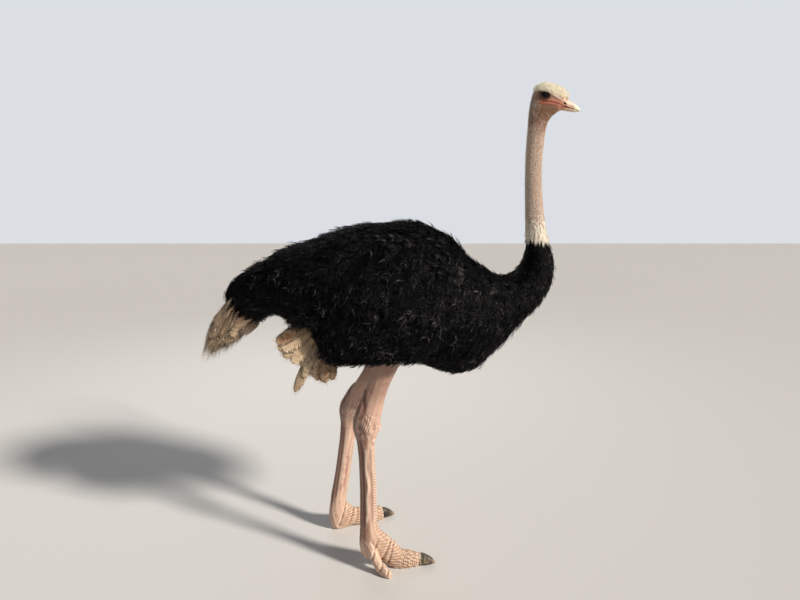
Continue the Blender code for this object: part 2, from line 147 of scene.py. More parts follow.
# Each light's kind, place, size (a sun's is an angle, an area's is in metres) and strength.
LIGHTS = {
    "key": ("SUN", (4.4, -2.5, 4.2), math.radians(8.0), 4.7),
    "fill": ("AREA", (-3.2, -2.6, 1.9), 2.5, 12.0),
    "rim": ("AREA", (-0.8, 3.0, 3.2), 2.4, 40.0),
}
AIM_AT = Vector((0.0, 0.0, HEIGHT / 2))

floor_mesh = bpy.data.meshes.new("floor")
ways = ((-1, -1), (1, -1), (1, 1), (-1, 1))
corners = [(x * FLOOR_REACH, y * FLOOR_REACH, -FLOOR_DROP) for x, y in ways]
floor_mesh.from_pydata(corners, [], [(0, 1, 2, 3)])
floor = bpy.data.objects.new("floor", floor_mesh)
bpy.context.collection.objects.link(floor)
floor_look, tree, shader = new_material("pale_floor", Roughness=0.9)
cloud = add_node(tree, "TexNoise", {"Scale": 1.3, "Detail": 3.0})
ramp = add_node(tree, "ValToRGB", {"Fac": cloud.outputs["Fac"]})
ramp.color_ramp.elements[0].color = paint(204, 202, 199)
ramp.color_ramp.elements[1].color = paint(214, 212, 209)
tree.links.new(ramp.outputs["Color"], shader.inputs["Base Color"])
floor_mesh.materials.append(floor_look)
floor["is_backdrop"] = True

for name, (kind, place, size, strength) in LIGHTS.items():
    light = bpy.data.objects.new(name, bpy.data.lights.new(name, kind))
    light.data.energy = strength
    light.data.color = WARM if kind == "SUN" else COOL
    if kind == "SUN":
        light.data.angle = size
    else:
        light.data.size = size
    light.location = place
    light.rotation_euler = (AIM_AT - light.location).to_track_quat("-Z", "Y").to_euler()
    bpy.context.collection.objects.link(light)

studio = bpy.data.worlds.new("studio")
studio.use_nodes = True
seen = add_node(studio.node_tree, "LightPath").outputs["Is Camera Ray"]
glow = ranged(studio.node_tree, seen, after=(AMBIENT, BACKDROP))
backdrop = studio.node_tree.nodes["Background"].inputs
backdrop["Color"].default_value = paint(232, 236, 242)
studio.node_tree.links.new(glow, backdrop["Strength"])
bpy.context.scene.world = studio
print(len(LIGHTS), "soft lights over a floor", 2 * FLOOR_REACH, "m wide")

# %% [markdown]
# ## Working on many points at once
# Skin and plumage hold a few hundred thousand points. Moving them one by one in Python would
# take minutes, so the helpers below treat a mesh as NumPy arrays: points, triangles and normals.

# %% Mesh arrays
def arrays_of(mesh):
    """A mesh's points and triangles."""
    points = np.empty(len(mesh.vertices) * 3, np.float32)
    mesh.vertices.foreach_get("co", points)
    mesh.calc_loop_triangles()
    triangles = np.empty(len(mesh.loop_triangles) * 3, np.int32)
    mesh.loop_triangles.foreach_get("vertices", triangles)
    return points.reshape(-1, 3).astype(float), triangles.reshape(-1, 3)


def unit(vectors):
    """The same directions, each 1 long."""
    return vectors / np.maximum(np.linalg.norm(vectors, axis=-1, keepdims=True), 1e-12)


def gather(index, values, count):
    """The sum of the rows of values that share an index."""
    return np.stack([np.bincount(index, weights=column, minlength=count) for column in values.T], 1)


def normals_of(points, triangles):
    """The way out of the surface at each point."""
    a, b, c = (points[triangles[:, corner]] for corner in range(3))
    face = np.cross(b - a, c - a)
    return unit(gather(triangles.ravel(), np.repeat(face, 3, axis=0), len(points)))


def relaxed(points, triangles, rounds, keep_volume=True):
    """Points evened out with their neighbours; a push back after each pull keeps the volume."""
    ends = np.concatenate([triangles[:, [0, 1]], triangles[:, [1, 2]], triangles[:, [2, 0]]])
    ends = np.concatenate([ends, ends[:, ::-1]])
    count = np.bincount(ends[:, 0], minlength=len(points))[:, None]
    for _ in range(rounds):
        for push in (0.5, -0.52) if keep_volume else (0.5,):
            middle = gather(ends[:, 0], points[ends[:, 1]], len(points)) / np.maximum(count, 1)
            points = points + push * (middle - points)
    return points


def ease(values, start, end):
    """0 before start and 1 after end, with a smooth rise between."""
    t = np.clip((values - start) / (end - start), 0.0, 1.0)
    return t * t * (3 - 2 * t)


def bump_at(values, place, half_width):
    """1 at a place, falling smoothly to 0 at half_width on either side."""
    return 1 - ease(np.abs(values - place), 0.0, half_width)


# %% Making pieces from arrays
def make_mesh(name, points, triangles, masks=None, flat_map=None, smooth=True):
    """A mesh object from arrays. masks are numbers kept on its points for the materials."""
    mesh = bpy.data.meshes.new(name)
    mesh.vertices.add(len(points))
    mesh.vertices.foreach_set("co", points.astype(np.float32).ravel())
    mesh.loops.add(triangles.size)
    mesh.loops.foreach_set("vertex_index", triangles.astype(np.int32).ravel())
    mesh.polygons.add(len(triangles))
    mesh.polygons.foreach_set("loop_start", np.arange(0, triangles.size, 3, dtype=np.int32))
    mesh.update(calc_edges=True)
    mesh.polygons.foreach_set("use_smooth", np.full(len(triangles), smooth))
    for mask, values in (masks or {}).items():
        layer = mesh.attributes.new(mask, "FLOAT", "POINT")
        layer.data.foreach_set("value", values.astype(np.float32))
    if flat_map is not None:
        layer = mesh.uv_layers.new(name="OFBake")
        layer.data.foreach_set("uv", flat_map[triangles.ravel()].astype(np.float32).ravel())
    made = bpy.data.objects.new(name, mesh)
    bpy.context.collection.objects.link(made)
    return made


def finish_piece(piece, material, replaced):
    """Gives a piece its material, its place on the body and the solids it replaces."""
    piece.data.materials.append(material)
    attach(piece, "root")
    if replaced:
        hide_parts(*replaced)
    print(f"{piece.name}: {len(piece.data.polygons)} faces")
    return piece


def discard(made):
    """Removes a helper object together with its mesh."""
    mesh = made.data
    bpy.data.objects.remove(made)
    bpy.data.meshes.remove(mesh)


def evaluated_arrays(made):
    """An object's arrays with its modifiers applied; the object itself is then removed."""
    graph = bpy.context.evaluated_depsgraph_get()
    mesh = bpy.data.meshes.new_from_object(made.evaluated_get(graph))
    points, triangles = arrays_of(mesh)
    bpy.data.meshes.remove(mesh)
    discard(made)
    return points, triangles


def arrays_of_shape(shape):
    """A bmesh's points and triangles; the bmesh is then freed."""
    bmesh.ops.triangulate(shape, faces=shape.faces)
    mesh = bpy.data.meshes.new("shape")
    shape.to_mesh(mesh)
    shape.free()
    points, triangles = arrays_of(mesh)
    bpy.data.meshes.remove(mesh)
    return points, triangles


class Surface:
    """Points and triangles that can be asked for the place on them nearest to any point."""

    def __init__(self, points, triangles):
        self.points = points
        self.triangles = triangles
        self.normals = normals_of(points, triangles)
        self.tree = BVHTree.FromPolygons(points.tolist(), triangles.tolist())

    def nearest(self, places):
        found = [self.tree.find_nearest(place) for place in places.tolist()]
        on = np.array([tuple(hit[0]) for hit in found])
        corners = self.triangles[[hit[2] for hit in found]]
        return on, unit(self.normals[corners].mean(axis=1))


# %% [markdown]
# ## One skin over the flesh
# The solids of the frame meet with thin gaps, and each is made of flat facets. A skin has no
# gaps and no facets. The copies are grown a little so that they overlap, and a voxel Remesh
# turns them into one closed surface, as if a rubber sheet were pulled over them. Sculpting by
# hand would do the same, but code can be run again when a solid changes.

# %% Overlapping copies and the remesh
GROWTH = 0.0006
WELD = 1e-5


def grown_copies(names, growth=GROWTH):
    """The named solids as one array mesh, each grown a little so that neighbours overlap."""
    all_points, all_triangles, count = [], [], 0
    for name in names:
        shape = bmesh.new()
        shape.from_mesh(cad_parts[name].data)
        bmesh.ops.remove_doubles(shape, verts=shape.verts, dist=WELD)
        points, triangles = arrays_of_shape(shape)
        all_points.append(points + growth * normals_of(points, triangles))
        all_triangles.append(triangles + count)
        count += len(points)
    return np.concatenate(all_points), np.concatenate(all_triangles)


def remeshed(points, triangles, voxel):
    """One closed surface round overlapping closed shapes."""
    rough = make_mesh("rough", points, triangles)
    modifier = rough.modifiers.new("voxels", "REMESH")
    modifier.mode = "VOXEL"
    modifier.voxel_size = voxel
    return evaluated_arrays(rough)


def decimated(points, triangles, most):
    """The same surface with at most so many triangles, the flattest places thinned first."""
    if len(triangles) <= most:
        return points, triangles
    rough = make_mesh("rough", points, triangles)
    rough.modifiers.new("thin out", "DECIMATE").ratio = most / len(triangles)
    return evaluated_arrays(rough)


def joined_or_cut(first, second, operation):
    """The Boolean of two closed array meshes."""
    one, other = make_mesh("one", *first), make_mesh("other", *second)
    modifier = one.modifiers.new("boolean", "BOOLEAN")
    modifier.operation = operation
    modifier.solver = "MANIFOLD"
    modifier.object = other
    made = evaluated_arrays(one)
    discard(other)
    return made


def box_arrays(low, high):
    """A box between two corners."""
    shape = bmesh.new()
    bmesh.ops.create_cube(shape, size=1.0)
    points, triangles = arrays_of_shape(shape)
    low, high = np.array(low), np.array(high)
    return (low + high) / 2 + points * (high - low), triangles


# %% [markdown]
# The plumage stands well clear of the body: on the back of a real bird about a hand's
# thickness of loose feathers lies between the skin and the outline. So two surfaces are kept.
# The outer one is where feather tips end, and the skin lies inside it by the depth of the coat.
# Grown by the closing distance and drawn in again, it fills the creases round the wings.

# %% Outer surface and coat depth
BODY_NODES = ("trunk", "tail", "neck_base", "wing_left", "wing_right")
COAT_DEPTH = 0.034
CLOSING = 0.020
BODY_VOXEL = 0.011
TAIL_DEPTH = 0.014
COLLAR_DEPTH = 0.011
NECK_FOOT_COAT = 0.007
collar_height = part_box("neck_base")[1].z
chest_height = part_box("neck_base")[0].z + 0.05
neck_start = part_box("neck_base")[0].x
tail_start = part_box("tail")[1].x
tail_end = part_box("tail")[0].x


def coat_depth(points):
    """How far the skin of the body lies inside the tips of its feathers."""
    to_collar = ease(points[:, 2], chest_height, collar_height) * (points[:, 0] > 0.3)
    to_tail = 1 - ease(points[:, 0], tail_end, tail_start + 0.08)
    depth = COAT_DEPTH + (COLLAR_DEPTH - COAT_DEPTH) * to_collar
    return depth + (TAIL_DEPTH - depth) * to_tail


body_points, body_triangles = remeshed(*grown_copies(BODY_NODES + ("neck",), CLOSING), BODY_VOXEL)
body_points = relaxed(body_points, body_triangles, 12)
body_points = body_points - CLOSING * normals_of(body_points, body_triangles)
outer = Surface(relaxed(body_points, body_triangles, 6), body_triangles)
inner_points = outer.points - outer.normals * coat_depth(outer.points)[:, None]
inner_points = relaxed(inner_points, body_triangles, 6, keep_volume=False)
print(f"outer surface {len(outer.points)} points, skin up to {COAT_DEPTH * 1000:.0f} mm inside it")

# %% [markdown]
# The head has a frame of its own: `forward` along the bill and `up` square to it, from the
# point between the eyes. Everything on the face is placed in that frame, so the head could be
# tipped without touching a single detail.

# %% The head's own frame
HEAD_PITCH = math.radians(16.0)
FORWARD = np.array([math.cos(HEAD_PITCH), 0.0, -math.sin(HEAD_PITCH)])
UP = np.array([math.sin(HEAD_PITCH), 0.0, math.cos(HEAD_PITCH)])
SIDEWAYS = np.array([0.0, 1.0, 0.0])
eye_low, eye_high = (np.array(corner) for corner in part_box("eye_left"))
EYE_RADII = (eye_high - eye_low) / 2
EYE_OUT = (eye_high + eye_low)[1] / 2
BROW = np.array([(eye_high + eye_low)[0] / 2, 0.0, (eye_high + eye_low)[2] / 2])
GAPE = -0.0165


def head_frame(points):
    """Points as (forward, distance to the side, up) from between the eyes."""
    away = points - BROW
    return np.stack([away @ FORWARD, away[:, 1], away @ UP], 1)


def from_head(places):
    """The way back from the head's frame."""
    return BROW + places[:, :1] * FORWARD + places[:, 2:] * UP + places[:, 1:2] * SIDEWAYS


print("eyes", round(2 * float(EYE_OUT) * 1000), "mm apart, centre to centre")

# %% [markdown]
# ### Head and neck
# Bare skin shows here, so the voxels are small. The socket round each eye is filled first, so
# that the lids have something to sit on, and then pressed in again inside the lids' rim.

# %% Head and neck skin
HEAD_VOXEL = 0.0018 if FULL_DETAIL else 0.003
NECK_COAT = 0.0025
CROWN_COAT = 0.0050
SOCKET_DEPTH = 0.0130
LID_OPENING = (0.0148, 0.0122)
LID_TILT = math.radians(-12.0)
LID_DROP = -0.0006


def lid_frame(places):
    """Places of the head's frame as (forward, up) along and across the slanting eye."""
    forward, up = places[:, 0], places[:, 2] + LID_DROP
    along = forward * math.cos(LID_TILT) + up * math.sin(LID_TILT)
    return along, up * math.cos(LID_TILT) - forward * math.sin(LID_TILT)


def from_lid(along, across):
    """The way back from the slanting eye to (forward, up) in the head's frame."""
    forward = along * math.cos(LID_TILT) - across * math.sin(LID_TILT)
    return forward, across * math.cos(LID_TILT) + along * math.sin(LID_TILT) - LID_DROP


def eye_distance(places):
    """How far out from the middle of an eye, with 1 on the rim of its lids."""
    along, across = lid_frame(places)
    return np.hypot(along / LID_OPENING[0], across / LID_OPENING[1])


def groove(places, line, width):
    """1 along a line of (forward, up) points in the head's frame, falling to 0 at width."""
    line = np.array(line)
    best = np.full(len(places), np.inf)
    flat = places[:, [0, 2]]
    for start, end in zip(line[:-1], line[1:]):
        along = end - start
        t = np.clip((flat - start) @ along / (along @ along), 0.0, 1.0)
        best = np.minimum(best, np.linalg.norm(flat - start - t[:, None] * along, axis=1))
    return 1 - ease(best, 0.0, width)


# Lines on the face, as (forward, up) points.
GAPE_LINE = ((0.150, GAPE), (0.075, GAPE + 0.0005), (0.040, GAPE - 0.001), (0.012, GAPE - 0.006),
             (-0.004, GAPE - 0.013))
CHEEK_LINE = ((0.085, GAPE + 0.007), (0.050, GAPE + 0.008), (0.020, GAPE + 0.003), (0.002, GAPE - 0.001))
JAW_LINE = ((0.060, GAPE - 0.012), (0.020, GAPE - 0.020), (-0.012, GAPE - 0.024))
BROW_LINE = ((-0.022, 0.014), (-0.006, 0.0205), (0.012, 0.0195), (0.030, 0.011), (0.055, 0.002),
             (0.078, -0.001))
UNDER_BROW = ((0.022, 0.006), (0.040, 0.000), (0.072, -0.0065))
EAR = (-0.0380, -0.0170)
EAR_SIZE = (0.0020, 0.0044)


def jaw_shadow_share(places):
    """1 under the jaw and down the front of the upper neck, where the jaw's shadow is painted on the skin."""
    jaw = ease(places[:, 2], -0.175, -0.080) * (1 - ease(places[:, 2], -0.034, -0.018))
    return jaw * ease(places[:, 0] - 0.28 * (places[:, 2] + 0.05), -0.034, 0.004)


def ear_distance(places):
    """How far out from the middle of an ear's slit, with 1 on its edge."""
    return np.hypot((places[:, 0] - EAR[0]) / EAR_SIZE[0], (places[:, 2] - EAR[1]) / EAR_SIZE[1])


NECK_FOOT = collar_height - 0.10
upper = remeshed(*grown_copies(("head", "neck", "neck_base", "eye_left", "eye_right")), HEAD_VOXEL)
upper = joined_or_cut(upper, box_arrays((-1.0, -1.0, NECK_FOOT), (2.0, 1.0, 3.0)), "INTERSECT")
upper_points = relaxed(*upper, 10)


def sculpt_head(points, triangles):
    """Presses the coat's depth, the sockets, the gape, the jaw and the ears into the head."""
    normals = normals_of(points, triangles)
    places = head_frame(points)
    on_head = ease(places[:, 2], -0.11, -0.07)
    crown = on_head * ease(places[:, 2], 0.004, 0.022) * (1 - ease(places[:, 0], 0.092, 0.102))
    low_neck = 1 - ease(points[:, 2], collar_height - 0.04, collar_height + 0.03)
    coat = NECK_COAT + (CROWN_COAT - NECK_COAT) * crown + (NECK_FOOT_COAT - NECK_COAT) * low_neck
    push = -coat
    push += 0.0012 * groove(places, GAPE_LINE, 0.0110) - 0.0026 * groove(places, GAPE_LINE, 0.0030)
    push += 0.0014 * groove(places, CHEEK_LINE, 0.0080) * (1 - groove(places, GAPE_LINE, 0.0040))
    push -= 0.0014 * groove(places, JAW_LINE, 0.0080)
    push += 0.0020 * groove(places, BROW_LINE, 0.0090) - 0.0006 * groove(places, UNDER_BROW, 0.0080)
    ear = ear_distance(places)
    push += 0.0012 * bump_at(ear, 1.5, 0.8) - 0.0034 * (1 - ease(ear, 0.3, 1.1))
    rim = eye_distance(places)
    push -= 0.0012 * bump_at(rim, 1.95, 0.35) * on_head
    points = points + normals * push[:, None]
    places = head_frame(points)
    under_horn = 1 - 0.40 * on_head * ease(places[:, 0], 0.070, 0.098)
    places[:, 1] *= under_horn
    places[:, 2] = GAPE + (places[:, 2] - GAPE) * under_horn
    points = from_head(places)
    buried = 1 - ease(points[:, 2], collar_height - 0.095, collar_height - 0.035)
    foot = points[points[:, 2] < collar_height - 0.05].mean(axis=0)
    points[:, :2] += 0.42 * buried[:, None] * (foot - points)[:, :2]
    inside = (1 - ease(rim, 1.00, 1.30)) * on_head
    points[:, 1] -= np.sign(points[:, 1]) * SOCKET_DEPTH * inside
    return points


upper_points = sculpt_head(upper_points, upper[1])
print(f"head and neck skin: {len(upper_points)} points")

# %% [markdown]
# ### Legs
# An ostrich's leg is bare from the thigh down. The hock, which bends like a backward knee, is a
# pair of round bone ends under wrinkled skin. Below it a strong tendon runs down the back of the
# shank, and overlapping plates, the scutes, run down its front. Each is pressed in by an angle
# round the leg (0 in front, 90 on the outer side, 180 behind) and a height.

# %% Leg skin
LEG_VOXEL = 0.0026 if FULL_DETAIL else 0.004
SCUTE_PITCH = 0.0125
RING_PITCH = 0.0105
WRINKLE_PITCH = 0.0072
RING_START = 0.115

# Bumps of the hock: height (below 0 for a hollow), then drop, angle, distance out and radius.
HOCK_BUMPS = ((0.0065, 0.064, 35, 0.030, 0.018), (-0.0040, 0.088, 35, 0.030, 0.015),
              (0.0060, 0.012, 0, 0.050, 0.022), (-0.0045, 0.038, 5, 0.045, 0.017),
              (0.0055, 0.006, 82, 0.038, 0.030), (0.0040, 0.006, -82, 0.038, 0.030),
              (-0.0045, 0.002, 128, 0.045, 0.026), (-0.0035, 0.010, 48, 0.045, 0.018))


def ring_middle(name, height):
    """The middle of a solid's outline near a height."""
    points = arrays_of(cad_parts[name].data)[0]
    near = points[np.abs(points[:, 2] - height) < 0.03]
    return (near.min(axis=0) + near.max(axis=0)) / 2


def saw(values):
    """Overlapping plates seen from the side: each rises slowly and ends in a short step."""
    part = values % 1.0
    return np.where(part < 0.82, part / 0.82, (1 - part) / 0.18)


class Leg:
    """The places and directions that the leg's details are measured from."""

    def __init__(self, name):
        self.side = 1 if name == "left" else -1
        shank_low, shank_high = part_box("shank_" + name)
        self.hock = ring_middle("shank_" + name, shank_high.z - 0.01)
        self.ankle = ring_middle("shank_" + name, shank_low.z + 0.01)
        claw = np.array(sum(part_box("claw_" + name), Vector()) / 2)
        toe = claw - self.ankle
        toe[2] = 0.0
        self.toe_way = toe / np.linalg.norm(toe)

    def round_leg(self, points):
        """Share of the way from hock to ankle, and the angle round the leg in degrees."""
        share = (self.hock[2] - points[:, 2]) / (self.hock[2] - self.ankle[2])
        away = points - self.hock - share[:, None] * (self.ankle - self.hock)
        return share, np.degrees(np.arctan2(self.side * away[:, 1], away[:, 0]))

    def along_toe(self, points):
        return (points - self.ankle) @ self.toe_way

    def near(self, points, drop, angle, out, radius):
        """1 at a place given by its drop below the hock and its angle, 0 past a radius."""
        turn = math.radians(angle)
        share = drop / (self.hock[2] - self.ankle[2])
        place = self.hock + share * (self.ankle - self.hock)
        place = place + out * np.array([math.cos(turn), self.side * math.sin(turn), 0.0])
        return bump_at(np.linalg.norm(points - place, axis=1), 0.0, radius)


def press_shank(push, points, leg):
    """Tendon, bones and scutes of the shank, and the muscle behind the thigh."""
    share, angle = leg.round_leg(points)
    behind, height = np.abs(angle), points[:, 2]
    wander = 6 * np.sin(height * 21) + 4 * np.sin(height * 47 + 1.3)
    turned = angle + wander
    shank = ease(share, 0.12, 0.26) * (1 - ease(share, 0.84, 0.97))
    push += shank * (0.0034 * bump_at(behind, 180, 40) - 0.0042 * bump_at(behind, 130, 26))
    push += shank * (0.0030 * bump_at(turned, 24, 28) - 0.0040 * bump_at(turned, 64, 24))
    push += shank * (0.0018 * bump_at(turned, 96, 20) - 0.0030 * bump_at(turned, -55, 28))
    plated = ease(share, 0.16, 0.30) * bump_at(angle, 4, 58)
    push += 0.0021 * plated * saw(height / SCUTE_PITCH + 0.01 * wander)
    thigh = 1 - ease(leg.hock[2] - height, -0.10, -0.05)
    push += thigh * (0.0035 * bump_at(angle, 150, 45) - 0.0045 * bump_at(angle, 104, 26))


def press_hock(push, points, leg):
    """The bone ends of the hock, the wrinkles behind it and the creases at its sides."""
    for bulge, below, angle, out, radius in HOCK_BUMPS:
        push += bulge * leg.near(points, below, angle, out, radius)
    x, y, z = points.T
    angle = leg.round_leg(points)[1]
    behind, drop = np.abs(angle), leg.hock[2] - z
    folds = ease(drop, -0.085, -0.045) * (1 - ease(drop, 0.030, 0.075)) * ease(behind, 80, 150)
    patchy = 0.55 + 0.45 * np.sin(z * 130 + angle * 0.05) * np.sin(angle * 0.09 + z * 40)
    slant = z + 0.55 * x + 0.0030 * np.sin(y * 130 + z * 60)
    push += 0.0019 * folds * patchy * np.sin(2 * math.pi * slant / WRINKLE_PITCH)
    sides = ease(drop, -0.075, -0.040) * (1 - ease(drop, 0.040, 0.070)) * bump_at(behind, 80, 45)
    creases = np.sin(angle * 0.31 + 3.0 * np.sin(z * 38)) * np.sin(z * 150 + angle * 0.12)
    push += 0.0013 * sides * creases


def on_toes(points):
    """1 on the toes, 0 above the ankle."""
    return 1 - ease(points[:, 2], 0.125, 0.16)


def press_toes(push, points, leg):
    """Rings and knobs on the toes, the folds between them and the ankle, and a welt at the claw."""
    _, y, z = points.T
    along = leg.along_toe(points)
    low = on_toes(points)
    ringed = low * ease(along, RING_START, RING_START + 0.04)
    uneven = 0.24 * np.sin(y * 120 + 40 * along) + 0.16 * np.sin(z * 110 + 70 * along)
    knobs = np.sin(y * 420 + 150 * along) * np.sin(along * 480) + 0.8 * np.sin(z * 390 + 210 * along)
    push += ringed * (0.0007 * saw(-along / RING_PITCH + 3.4 * uneven) + 0.0014 * knobs)
    ankle_fold = bump_at(along - 0.35 * z, -0.012, 0.010) + bump_at(along - 0.5 * z, 0.030, 0.011)
    toe_fold = 0.8 * bump_at(along - 0.3 * z, 0.072, 0.010)
    push -= 0.0048 * low * (ankle_fold + toe_fold) * ease(z, 0.01, 0.03)
    push += 0.0014 * low * bump_at(along, along.max() - 0.020, 0.012)


def sculpt_leg(points, triangles, leg):
    """Presses every detail into a leg's skin, then draws its big toe in towards the claw."""
    push = np.zeros(len(points))
    for press in (press_shank, press_hock, press_toes):
        press(push, points, leg)
    low, along = on_toes(points), leg.along_toe(points)
    end = along.max()
    points = points + normals_of(points, triangles) * push[:, None]
    toe_middle = points[along > end - 0.006].mean(axis=0)
    ragged = np.sin(points[:, 1] * 210 + 0.7) + np.sin(points[:, 2] * 260 + points[:, 1] * 90)
    points = points - (0.0024 * ragged * low * ease(along, end - 0.016, end))[:, None] * leg.toe_way
    inward = toe_middle - points
    inward = inward - (inward @ leg.toe_way)[:, None] * leg.toe_way
    narrowed = 0.20 * ease(along, end - 0.060, end - 0.012) + 0.42 * ease(along, end - 0.016, end - 0.001)
    points = points + (low * narrowed)[:, None] * inward
    points[:, 2] = np.maximum(points[:, 2], 0.0)
    return points


LEG_PARTS = ("drumstick_", "shank_", "main_toe_", "outer_toe_")
legs = {name: Leg(name) for name in ("right", "left")}
leg_skins = []
for name, leg in legs.items():
    leg_points, leg_triangles = remeshed(*grown_copies([part + name for part in LEG_PARTS]), LEG_VOXEL)
    leg_points = relaxed(leg_points, leg_triangles, 7)
    leg_skins.append((sculpt_leg(leg_points, leg_triangles, leg), leg_triangles))
    print(f"{name} leg skin: {len(leg_points)} points")

# %% [markdown]
# ### Joining the skin
# Body, neck and legs are closed surfaces that run into each other under the plumage, so a
# Boolean union makes them one, with its seams where no light reaches. The numbers kept on the
# points, its masks, say how feathered, scaly or flushed the skin is there. They are worked out
# from the same frames as the shapes, so colour and form can't slip apart.

# %% One skin
SKIN_TRIANGLES = 240_000
skin_arrays = joined_or_cut((inner_points, body_triangles), (upper_points, upper[1]), "UNION")
for leg_skin in leg_skins:
    skin_arrays = joined_or_cut(skin_arrays, leg_skin, "UNION")
skin_arrays = decimated(*skin_arrays, SKIN_TRIANGLES)


def skin_masks(points, triangles):
    """How the skin's colour and texture change over the bird, each from 0 to 1."""
    x, height = points[:, 0], points[:, 2]
    smoothed = relaxed(points, triangles, 5, keep_volume=False)
    hollow = ((smoothed - points) * normals_of(points, triangles)).sum(axis=1)
    on_coat, out = outer.nearest(points)
    under_coat = ease(((on_coat - points) * out).sum(axis=1), 0.002, 0.007)
    places = head_frame(points)
    on_head = ease(places[:, 2], -0.10, -0.06)
    covered = (height < collar_height + 0.010) | (x < neck_start)
    collared = (x > neck_start) & (height < collar_height + 0.004) & (height > chest_height)
    # Under the plumage the skin will be painted near-black, as the shade deep in the coat.
    masks = {"feathered": covered * np.maximum(under_coat, collared)}
    flushed = np.maximum(groove(places, GAPE_LINE, 0.0165), groove(places, CHEEK_LINE, 0.0100))
    masks["gape"] = on_head * flushed
    # A narrow dark line in the gape's groove: painted shade where the lips meet.
    masks["mouth_line"] = on_head * groove(places, GAPE_LINE, 0.0022)
    masks["muzzle"] = on_head * ease(places[:, 0], 0.062, 0.080) * (1 - 0.7 * masks["mouth_line"])
    masks["lid"] = on_head * (1 - ease(eye_distance(places), 1.40, 1.90))
    masks["lid_edge"] = on_head * (1 - ease(eye_distance(places), 1.08, 1.22))
    masks["ear"] = on_head * (1 - ease(ear_distance(places), 0.4, 1.1))
    # Painted shadow of the jaw on the throat.
    masks["jaw_shadow"] = jaw_shadow_share(places)
    # Painted shade on the lower face, below the gape.
    masks["cheek"] = on_head * (1 - ease(places[:, 2], -0.012, 0.008))
    masks["cheek"] *= 1 - ease(places[:, 0], 0.055, 0.075)
    masks["leg"] = 1 - ease(height, 1.00, 1.15)
    # Painted shadow of the body on the top of the thigh.
    masks["thigh"] = masks["leg"] * ease(height, 0.70, 0.84)
    scaly, shaded, creased = (np.zeros(len(points)) for _ in range(3))
    for leg in legs.values():
        mine = (points[:, 1] * leg.side > 0) * masks["leg"]
        share, angle = leg.round_leg(points)
        drop = leg.hock[2] - height
        along = leg.along_toe(points)
        toes = 1 - ease(height, 0.10, 0.17)
        front = ease(share, 0.10, 0.26) * bump_at(angle, 6, 62)
        scaly += mine * np.maximum(front, toes * ease(along, 0.02, 0.10))
        # Painted shade: the rear of each leg, turned away from the key light, is darkened to mauve.
        shaded += mine * np.maximum(ease(angle, 62, 100), ease(-angle, 110, 150)) * (1 - toes)
        creased += mine * ease(drop, -0.10, -0.04) * (1 - ease(drop, 0.04, 0.09))
    masks["scaly"] = np.clip(scaly, 0, 1)
    masks["shaded"] = np.clip(shaded, 0, 1)
    masks["creased"] = np.clip(creased, 0, 1)
    masks["crown"] = on_head * ease(places[:, 2], 0.006, 0.020)
    # Painted shade in the skin's hollows, and a painted highlight on its ridges.
    masks["hollow"] = ease(hollow, 0.00003, 0.00070)
    masks["ridge_highlight"] = ease(-hollow, 0.00005, 0.00075)
    return masks


print(f"skin: {len(skin_arrays[0])} points, {len(skin_arrays[1])} triangles")

# %% [markdown]
# ### Eyelids
# An ostrich's lids are thick and folded. The remeshed skin is too coarse for a crisp rim, so the
# lids are lofted: rings of points from the rim outwards, first over the eyeball, then over the
# head, and back underneath to close the shape. A union then grows them into the skin.

# %% Lids
# Each ring's size, with 1 on the rim, and its height over the eyeball or the head.
LID_RINGS = ((1.00, -0.0034), (0.97, 0.0000), (0.99, 0.0018), (1.04, 0.0030), (1.11, 0.0031),
             (1.17, 0.0020), (1.205, 0.0008), (1.25, 0.0015), (1.33, 0.0027), (1.42, 0.0026),
             (1.48, 0.0012), (1.52, 0.0004), (1.58, 0.0012), (1.66, 0.0014), (1.74, 0.0008),
             (1.83, -0.0008), (1.74, -0.0045), (1.30, -0.0065))
LID_SIDES = 72


def ball_out(forward, up):
    """How far to the side the eyeball's surface lies at a place in the head's frame."""
    flat = (forward / EYE_RADII[0]) ** 2 + (up / EYE_RADII[2]) ** 2
    return EYE_OUT + EYE_RADII[1] * np.sqrt(np.clip(1 - flat, 0.0, 1.0))


def make_lids(side, head_skin):
    """Both lids of one eye as a closed ring."""
    turns = np.arange(LID_SIDES) * 2 * math.pi / LID_SIDES
    rings = []
    for spread, height in LID_RINGS:
        upper_lid = ease(np.sin(turns), 0.0, 0.6)
        corner = 1 + 0.10 * np.abs(np.cos(turns)) ** 6 * (spread < 1.2)
        uneven = 1 + (0.035 * np.sin(3 * turns + 0.6) + 0.02 * np.sin(7 * turns)) * (spread > 1.2)
        along = LID_OPENING[0] * spread * np.cos(turns) * corner * uneven
        across = LID_OPENING[1] * spread * np.sin(turns) * (1 - 0.10 * upper_lid * (spread < 1.2)) * uneven
        forward, up = from_lid(along, across)
        start = from_head(np.stack([forward, np.full_like(up, side * 0.2), up], 1))
        way = Vector((0.0, -side, 0.0))
        on_head = np.array([abs(head_skin.ray_cast(Vector(p), way)[0].y) for p in start])
        share = ease(np.full_like(up, spread), 1.10, 1.50)
        out = ball_out(forward, up) * (1 - share) + on_head * share + height * (1 + 0.55 * upper_lid)
        rings.append(from_head(np.stack([forward, side * out, up], 1)))
    points = np.concatenate(rings)
    triangles = []
    for level in range(len(rings)):
        for turn in range(LID_SIDES):
            a, b = level * LID_SIDES + turn, level * LID_SIDES + (turn + 1) % LID_SIDES
            c, d = (((level + 1) % len(rings)) * LID_SIDES + t for t in (turn, (turn + 1) % LID_SIDES))
            triangles += [(a, b, d), (a, d, c)] if side < 0 else [(a, d, b), (a, c, d)]
    return points, np.array(triangles)


